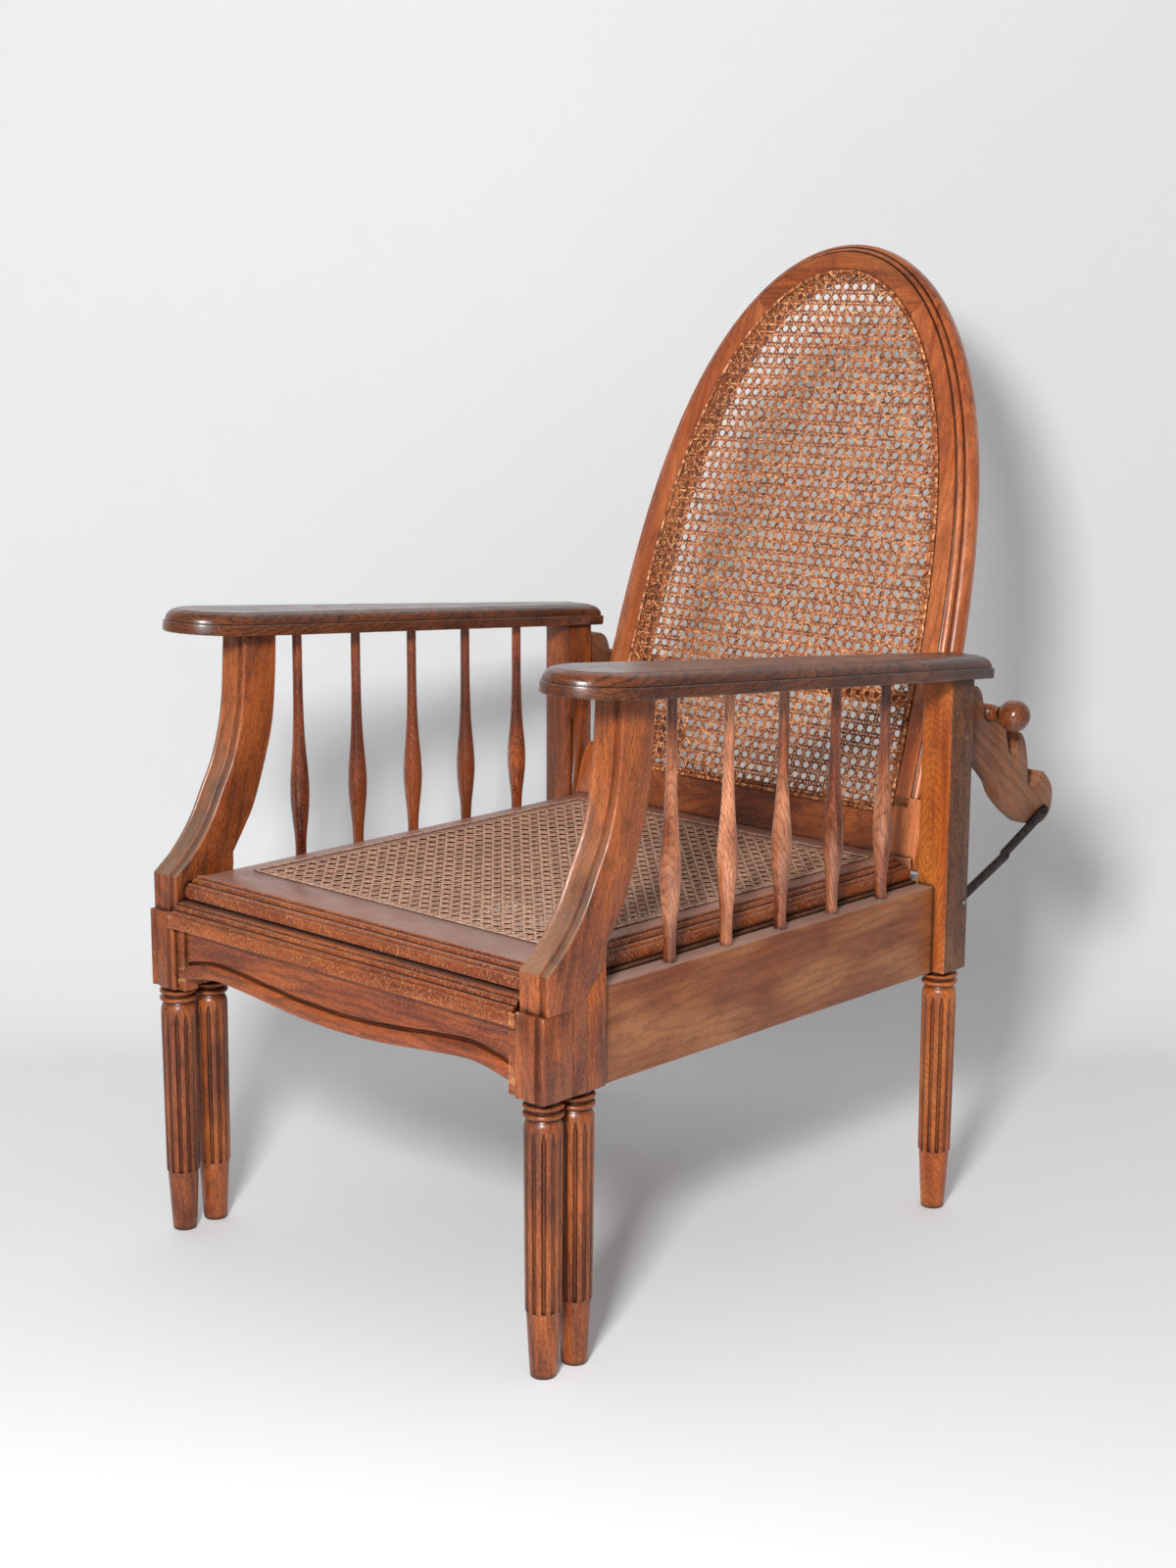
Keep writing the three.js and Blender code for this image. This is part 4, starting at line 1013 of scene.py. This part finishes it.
def canePanel(name, panel, outline, turn):
    outline = np.array(outline, float)
    after = np.roll(outline, -1, 0)
    if np.sum(outline[:, 0] * after[:, 1] - after[:, 0] * outline[:, 1]) < 0:
        outline = outline[::-1]
    low, high = outline.min(0), outline.max(0)
    middle, reach = (low + high) / 2, (high - low) / 2
    origin, pitch = np.array(panel["origin"], float), panel["pitch"]
    weave = Weave()

    def sagged(flat, rise):
        share = np.clip(1 - ((flat - middle) / reach) ** 2, 0, 1)
        return np.column_stack([flat, rise - panel["sag"] * share[:, 0] * share[:, 1]])

    def lay(start, direction, step, height):
        found = crossing(outline, start, direction)
        if not found:
            return
        ends = [found[0] + cane["endRoom"], found[1] - cane["endRoom"]]
        inside = np.arange(math.ceil(ends[0] / step), math.floor(ends[1] / step) + 1) * step
        flat = start + np.concatenate([found[:1], inside, found[1:]])[:, None] * direction
        centres = sagged(flat, height(flat))
        centres[[0, -1], 2] -= cane["dip"]
        slope = unit(np.gradient(centres, axis=0))
        sides = unit(np.cross(slope, upright))
        weave.strip(centres, sides, np.cross(sides, slope), panel["width"], cane["thick"], dice.random())

    for axis, direction in enumerate(np.array([(0.0, 1.0), (1.0, 0.0)])):
        other = 1 - axis
        first, last = math.floor((low[axis] - origin[axis]) / pitch), math.ceil((high[axis] - origin[axis]) / pitch)
        for i in range(first, last + 1):
            for second, level in enumerate(cane["levels"][axis]):
                start = origin.copy()
                start[axis] += i * pitch + (2 * second - 1) * panel["pairHalf"]
                start[axis] += dice.uniform(-cane["stray"], cane["stray"])
                lay(start, direction, pitch / 2, lambda flat: level + cane["wave"] * np.cos(
                    math.pi * ((flat[:, other] - origin[other]) / pitch + i + second)))
    span = int(reach.sum() * 2 / pitch) + 4
    for sign in (1, -1):
        for k in range(-span, span):
            lay(origin + (0, (k + 0.5) * pitch), np.array([1.0, sign]) / math.sqrt(2), pitch / 4 * math.sqrt(2),
                lambda flat: sign * cane["lift"] * np.cos(2 * math.pi * (flat[:, 0] - origin[0]) / pitch))

    closed = np.vstack([outline, outline[:1]])
    lengths = np.concatenate([[0], np.cumsum(np.linalg.norm(np.diff(closed, axis=0), axis=1))])
    total = lengths[-1]

    def edgeAt(at):
        return np.stack([np.interp(at, lengths, closed[:, i]) for i in (0, 1)], -1)

    def edgeFrame(at):
        # a point of the edge, the way along it and the way inwards
        point = edgeAt(at)
        along = unit(edgeAt(min(at + 1, total)) - point)
        return point, along, np.array([-along[1], along[0]])

    # binder round the edge and the loops that hold it
    path = edgeAt(np.linspace(0, total, int(total / cane["binderStep"])))
    run = np.gradient(path, axis=0)
    run[0] = run[-1] = path[1] - path[-2]
    run = unit(run)
    centres = np.column_stack([path, np.full(len(path), cane["binderRise"])])
    sides = np.column_stack([run[:, 1], -run[:, 0], np.zeros(len(run))])
    weave.strip(centres, sides, upright, cane["binderWidth"], cane["binderThick"], cane["binderTint"])
    loops = int(total / pitch)
    share, rise = np.array(cane["loop"]).T
    for k in range(loops):
        at = (k + 0.5 + dice.uniform(-cane["loopStray"], cane["loopStray"])) * total / loops
        point, along, inward = edgeFrame(at)
        over = along * dice.uniform(-cane["loopLean"], cane["loopLean"]) - inward * cane["loopReach"]
        centres = np.column_stack([point + share[:, None] * over, rise])
        side = np.array([*along, 0])
        ups = np.cross(side, unit(np.gradient(centres, axis=0)))
        weave.strip(centres, side, ups * np.sign(ups[2, 2]), cane["loopWidth"], cane["loopThick"], dice.random())
    # short crossing stitches from the border holes into the field
    share, rise = np.array(cane["stitch"]).T
    for k in range(loops * panel["stitches"]):
        point, along, inward = edgeFrame(dice.uniform(0, total - 1))
        inward = unit(inward + along * dice.uniform(-cane["stitchLean"], cane["stitchLean"]))
        centres = sagged(point + share[:, None] * inward * dice.uniform(*cane["stitchReach"]), rise)
        side = (-inward[1], inward[0], 0)
        weave.strip(centres, side, upright, cane["stitchWidth"], cane["thick"], dice.random())
    return weave.piece(f"{name}_look", turn)


def backCaneOutline():
    inset, foot = back["band"] - cane["holeInset"], back["railTop"] - cane["holeInset"]
    right = [archStation(archAngle(z)) for z in np.linspace(60, back["scarf"], 24)]
    points = [(x - outX * inset, z - outZ * inset) for x, z, outX, outZ in right + crestStations()[1:-1:3]]
    mirrored = [(-x, z) for x, z in points[:len(right)]][::-1]
    return [(points[0][0], foot)] + points + mirrored + [(-points[0][0], foot)]


def backTurn(p):
    # panel coordinates (across, up, out of the face) into the leaned back
    return leaned(np.stack([p[:, 0], cane["sunk"] - back["thick"] / 2 - p[:, 2], p[:, 1]], 1))


def caneField(plan):
    inset = cane["holeInset"]
    half = plan["half"] - plan["widths"]["left"] + inset
    front = plan["front"] + plan["widths"]["front"] - inset
    rear = plan["rear"] - plan["widths"]["rear"] + inset
    return [(-half, front), (half, front), (half, rear), (-half, rear)]


backCane = dict(origin=(0, 48), pitch=13, pairHalf=1.9, width=2.2, sag=0, stitches=2)
piece = canePanel("back_cane", backCane, backCaneOutline(), backTurn)
dress(piece, backRattan, "backrest", "cane", "back_cane")
seatCane = dict(origin=(0, -35), pitch=15, pairHalf=1.8, width=1.9, sag=5, stitches=0)
piece = canePanel("seat_cane", seatCane, caneField(seat), lambda p: p + (0, 0, seat["top"] - cane["sunk"]))
dress(piece, seatRattan, "root", "cane", "seat_cane")
restCane = dict(origin=(0, -50), pitch=13, pairHalf=1.9, width=2.4, sag=3, stitches=0)
piece = canePanel("leg_rest_cane", restCane, caneField(rest), lambda p: p + (0, 0, rest["top"] - cane["sunk"]))
dress(piece, shadedRestRattan, "leg_rest", "cane", "leg_rest_cane")
print("cane ready")


# ---- notched brackets, support bar and iron stays
bracket = dict(
    x0=270, x1=290, edge=0.9,
    runs=[
        [(289.3, 574), (292, 586), (302, 591), (314, 590.6), (323, 583), (328, 570), (331.6, 558)],
        [(331.6, 558), (333.2, 552.4), (337.4, 549.2), (341.4, 548.6), (345.8, 549.9)],
        [(345.8, 549.9), (352, 553.4), (358.6, 555.4), (365, 556), (370.5, 553), (374, 546), (374.6, 538),
         (375, 530)],
        [(375, 530), (376.6, 523), (379.4, 514), (383, 506), (388.4, 502.4), (393.6, 504.6), (397, 511),
         (400, 519), (400, 527.8)],
        [(400, 527.8), (406.5, 525), (413, 516), (418, 500), (421, 484)],
        [(421, 484), (421.4, 470), (424, 462.6), (431, 459.3), (438, 461.4), (441.6, 466), (445.4, 470),
         (447.6, 476.2)],
        [(447.6, 476.2), (455, 473.4), (466, 463), (473, 451), (473, 437), (469, 426), (460, 418), (445, 414),
         (428, 417), (413, 423), (388, 440), (367, 459), (356, 476), (336, 494), (319, 508), (289.3, 520)],
    ],
)


def bracketPlate():
    outline = []
    for run in bracket["runs"]:
        outline += [tuple(p) for p in smoothLine(run, 5)[:-1]]
    outline.append(bracket["runs"][-1][-1])
    return slab(Shell(), outline, bracket["x0"], bracket["x1"], bracket["edge"], acrossChair)


for side, sign, piece in eachSide(bracketPlate, "bracket", sharpAngle=40):
    sawn(piece, (0, 0.8, -0.6), (0, 0.6, 0.8), (30, 16))
    dress(piece, bracketBeech, "root", "arm_beech", f"ratchet_bracket_{side}")

bar = dict(
    y=341, z=558, ball=18, ballX=321.6, sides=48,
    end=[(0, 9), (150, 8.8), (268, 8.9), (269, 9), (291, 9), (292, 8.3), (293, 7.8), (294, 8.4), (295.4, 8.6),
         (296.6, 8), (297.4, 7.7), (302, 8), (303.6, 8.6)],  # from the middle outwards
)
profile = [(-x, r) for x, r in reversed(bar["end"][1:])] + bar["end"]
shell = lathe(Shell(), profile, bar["sides"], lambda h, a, b: (h, bar["y"] + a, bar["z"] + b))
piece = sawn(meshFrom("support_bar_look", shell, sharpAngle=40), widthways, upright, (4, 20))
dress(piece, frameBeech, "support_bar", "stained_beech", "support_bar")


def ballKnob():
    ball = bar["ball"]
    rows = [(bar["ballX"] - ball * math.cos(a), ball * math.sin(a) * (1 - 0.03 * math.sin(3 * a) ** 2))
            for a in np.linspace(0.42, math.pi - 0.05, 34)]
    return lathe(Shell(), rows, bar["sides"], lambda h, a, b: (h, bar["y"] + a, bar["z"] + b))


for side, sign, piece in eachSide(ballKnob, "ball_knob", sharpAngle=50):
    sawn(piece, (0.3, 0.2, 1), lengthways, (2, 9))
    dress(piece, ballBeech, "support_bar", "polished_beech", f"ball_knob_{side}")


def dome(shell, at, radius, x0, x1):
    rise = x1 - x0
    rows = [(x0 - 1, radius), (x0 + rise * 0.25, radius)]
    rows += [(x0 + rise * (0.25 + 0.75 * math.sin(a)), radius * math.cos(a)) for a in np.linspace(0.2, 1.5, 7)]
    return lathe(shell, rows, 28, lambda h, a, b: (h, at[0] + a, at[1] + b))


def stay(start, end, x):
    # a flat link with round ends and a rivet on its first one
    turn, half = math.degrees(math.atan2(end[1] - start[1], end[0] - start[0])), stays["halfWidth"]
    outline = arc(*start, half, turn + 90, turn + 270, 12) + arc(*end, half, turn - 90, turn + 90, 12)
    face = x + stays["thick"]
    link = slab(Shell(), outline, x, face, stays["edge"], acrossChair)
    return dome(link, start, stays["rivetRadius"], face, face + stays["rivetRise"])


def onPost(at, radius, sunk, rise):
    face = leg["postX"] + leg["half"]
    return dome(Shell(), at, radius, face - sunk, face + rise)


for part, *ends in (("upper", "screw", "knee"), ("lower", "knee", "foot")):
    for side, sign, piece in eachSide(lambda: stay(*(stays[end] for end in ends), stays[part]), f"stay_{part}"):
        dress(piece, stayIron, "root", "iron", f"stay_{part}_{side}")
for side, sign, piece in eachSide(lambda: onPost(stays["foot"], *stays["pin"]), "stay_pin"):
    dress(piece, pinSteel, "root", "iron")
for side, sign, piece in eachSide(lambda: onPost(slots["plugAt"], *slots["plug"]), "post_plug"):
    sawn(piece, upright)
    dress(piece, armBeech, "root", "arm_beech")
print("brackets, bar and stays ready")


# ---- carried pieces that stay as modelled
carried = {
    shadedInnerBeech: ("front_lower_rail", "seat_cleat_left", "seat_cleat_right", "leg_rest_runner_left",
                 "leg_rest_runner_right", "leg_rest_rail_left", "leg_rest_rail_right", "leg_rest_rail_rear"),
    stayIron: ("pivot_pin_left", "pivot_pin_right"),
}
for material, names in carried.items():
    for name in names:
        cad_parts[name].data.materials.clear()
        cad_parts[name].data.materials.append(material)


# ---- studio: a seamless pale sweep, one large soft lamp near the camera and an even sky
view = dict(
    azimuth=43.02, elevation=11.875, roll=0.215, eye=(1860.7, -1994.1, 1059.5), focalPx=2603.4, widthPx=1200,
    sensor=36,
)
studio = dict(
    floorSize=9, wallDistance=0.78, bendRadius=0.3, wallHeight=5, floorGap=0.001, paper="#e9eaeb", floorGlow=0.06,
    lampAt=(1.42, -2.2, 1.62), lampAim=(0, -0.05, 0.5), lampSize=0.4, lampPower=76, skyColour="#ffffff",
    skyStrength=0.34, skySeen=0.8,
)


def outward(azimuth, elevation):
    a, e = math.radians(azimuth), math.radians(elevation)
    return Vector((math.sin(a) * math.cos(e), -math.cos(a) * math.cos(e), math.sin(e)))


cameraData = bpy.data.cameras.new("camera")
cameraData.sensor_fit = "HORIZONTAL"
cameraData.sensor_width = view["sensor"]
cameraData.lens = view["focalPx"] * view["sensor"] / view["widthPx"]
cameraData.dof.use_dof = False
camera = placed("camera", cameraData)
aim = outward(view["azimuth"], view["elevation"]).to_track_quat("Z", "Y").to_matrix().to_4x4()
eye = Vector(toFrame(np.array(view["eye"])))
camera.matrix_world = Matrix.Translation(eye) @ aim @ Matrix.Rotation(math.radians(view["roll"]), 4, "Z")
bpy.context.scene.camera = camera

bend = studio["bendRadius"]
bendStart = studio["wallDistance"] - bend
sweepProfile = [(-studio["floorSize"], 0.0), (bendStart, 0.0)]
sweepProfile += [(bendStart + bend * math.sin(a), bend * (1 - math.cos(a)))
                 for a in np.linspace(0.05, math.pi / 2, 24)]
sweepProfile.append((studio["wallDistance"], studio["wallHeight"]))
ahead = outward(view["azimuth"], 0) * -1
sideways = Vector((-ahead.y, ahead.x, 0)) * studio["floorSize"]
sweepCorners = [tuple(ahead * along + sideways * end + Vector((0, 0, up)))
                for along, up in sweepProfile for end in (-1, 1)]
sweepFaces = [[2 * i, 2 * i + 2, 2 * i + 3, 2 * i + 1] for i in range(len(sweepProfile) - 1)]
floorCorners = [(x * studio["floorSize"], y * studio["floorSize"], -studio["floorGap"])
                for x, y in ((-1, -1), (1, -1), (1, 1), (-1, 1))]
backdrop = dict(paper_sweep=(sweepCorners, sweepFaces), studio_floor=(floorCorners, [(0, 1, 2, 3)]))

paper, paperTree, paperShader = newMaterial("matt paper sweep")
fill(paperTree, paperShader, {"Base Color": studio["paper"], "Roughness": 0.9, "Specular IOR Level": 0.1})
# the floor is lifted to the wall's tone for the camera alone, and the paper is only there from its front
surface = node(paperTree, "ShaderNodeNewGeometry")
upward = node(paperTree, "ShaderNodeSeparateXYZ", {0: surface.outputs["Normal"]}).outputs["Z"]
inView = node(paperTree, "ShaderNodeLightPath").outputs["Is Camera Ray"]
lift = scaled(paperTree, scaled(paperTree, upward, inView), studio["floorGlow"])
glow = node(paperTree, "ShaderNodeEmission", {"Color": studio["paper"], "Strength": lift})
lit = node(paperTree, "ShaderNodeAddShader", {0: paperShader.outputs[0], 1: glow.outputs[0]})
clear = node(paperTree, "ShaderNodeBsdfTransparent")
fronted = node(paperTree, "ShaderNodeMixShader", {
    0: surface.outputs["Backfacing"], 1: lit.outputs[0], 2: clear.outputs[0]})
paperTree.links.new(fronted.outputs[0], paperTree.nodes["Material Output"].inputs["Surface"])
for name, (corners, faces) in backdrop.items():
    mesh = bpy.data.meshes.new(name)
    mesh.from_pydata(corners, [], faces)
    mesh.polygons.foreach_set("use_smooth", [True] * len(faces))
    mesh.materials.append(paper)
    placed(name, mesh)

lampData = bpy.data.lights.new("softbox", "AREA")
lampData.shape, lampData.size = "SQUARE", studio["lampSize"]
lampData.energy = studio["lampPower"]
lamp = placed("softbox", lampData)
lampAt = Vector(studio["lampAt"])
lampTurn = (lampAt - Vector(studio["lampAim"])).to_track_quat("Z", "Y").to_matrix().to_4x4()
lamp.matrix_world = Matrix.Translation(lampAt) @ lampTurn
world = bpy.data.worlds.new("studio")
world.use_nodes = True
sky = world.node_tree.nodes["Background"]
sky.inputs["Color"].default_value = linear(studio["skyColour"])
inView = node(world.node_tree, "ShaderNodeLightPath").outputs["Is Camera Ray"]
extra = scaled(world.node_tree, inView, studio["skySeen"] - studio["skyStrength"])
strength = arithmetic(world.node_tree, "ADD", extra, studio["skyStrength"])
world.node_tree.links.new(strength, sky.inputs["Strength"])
bpy.context.scene.world = world
bpy.context.scene.view_settings.view_transform = "Standard"
print("studio ready")
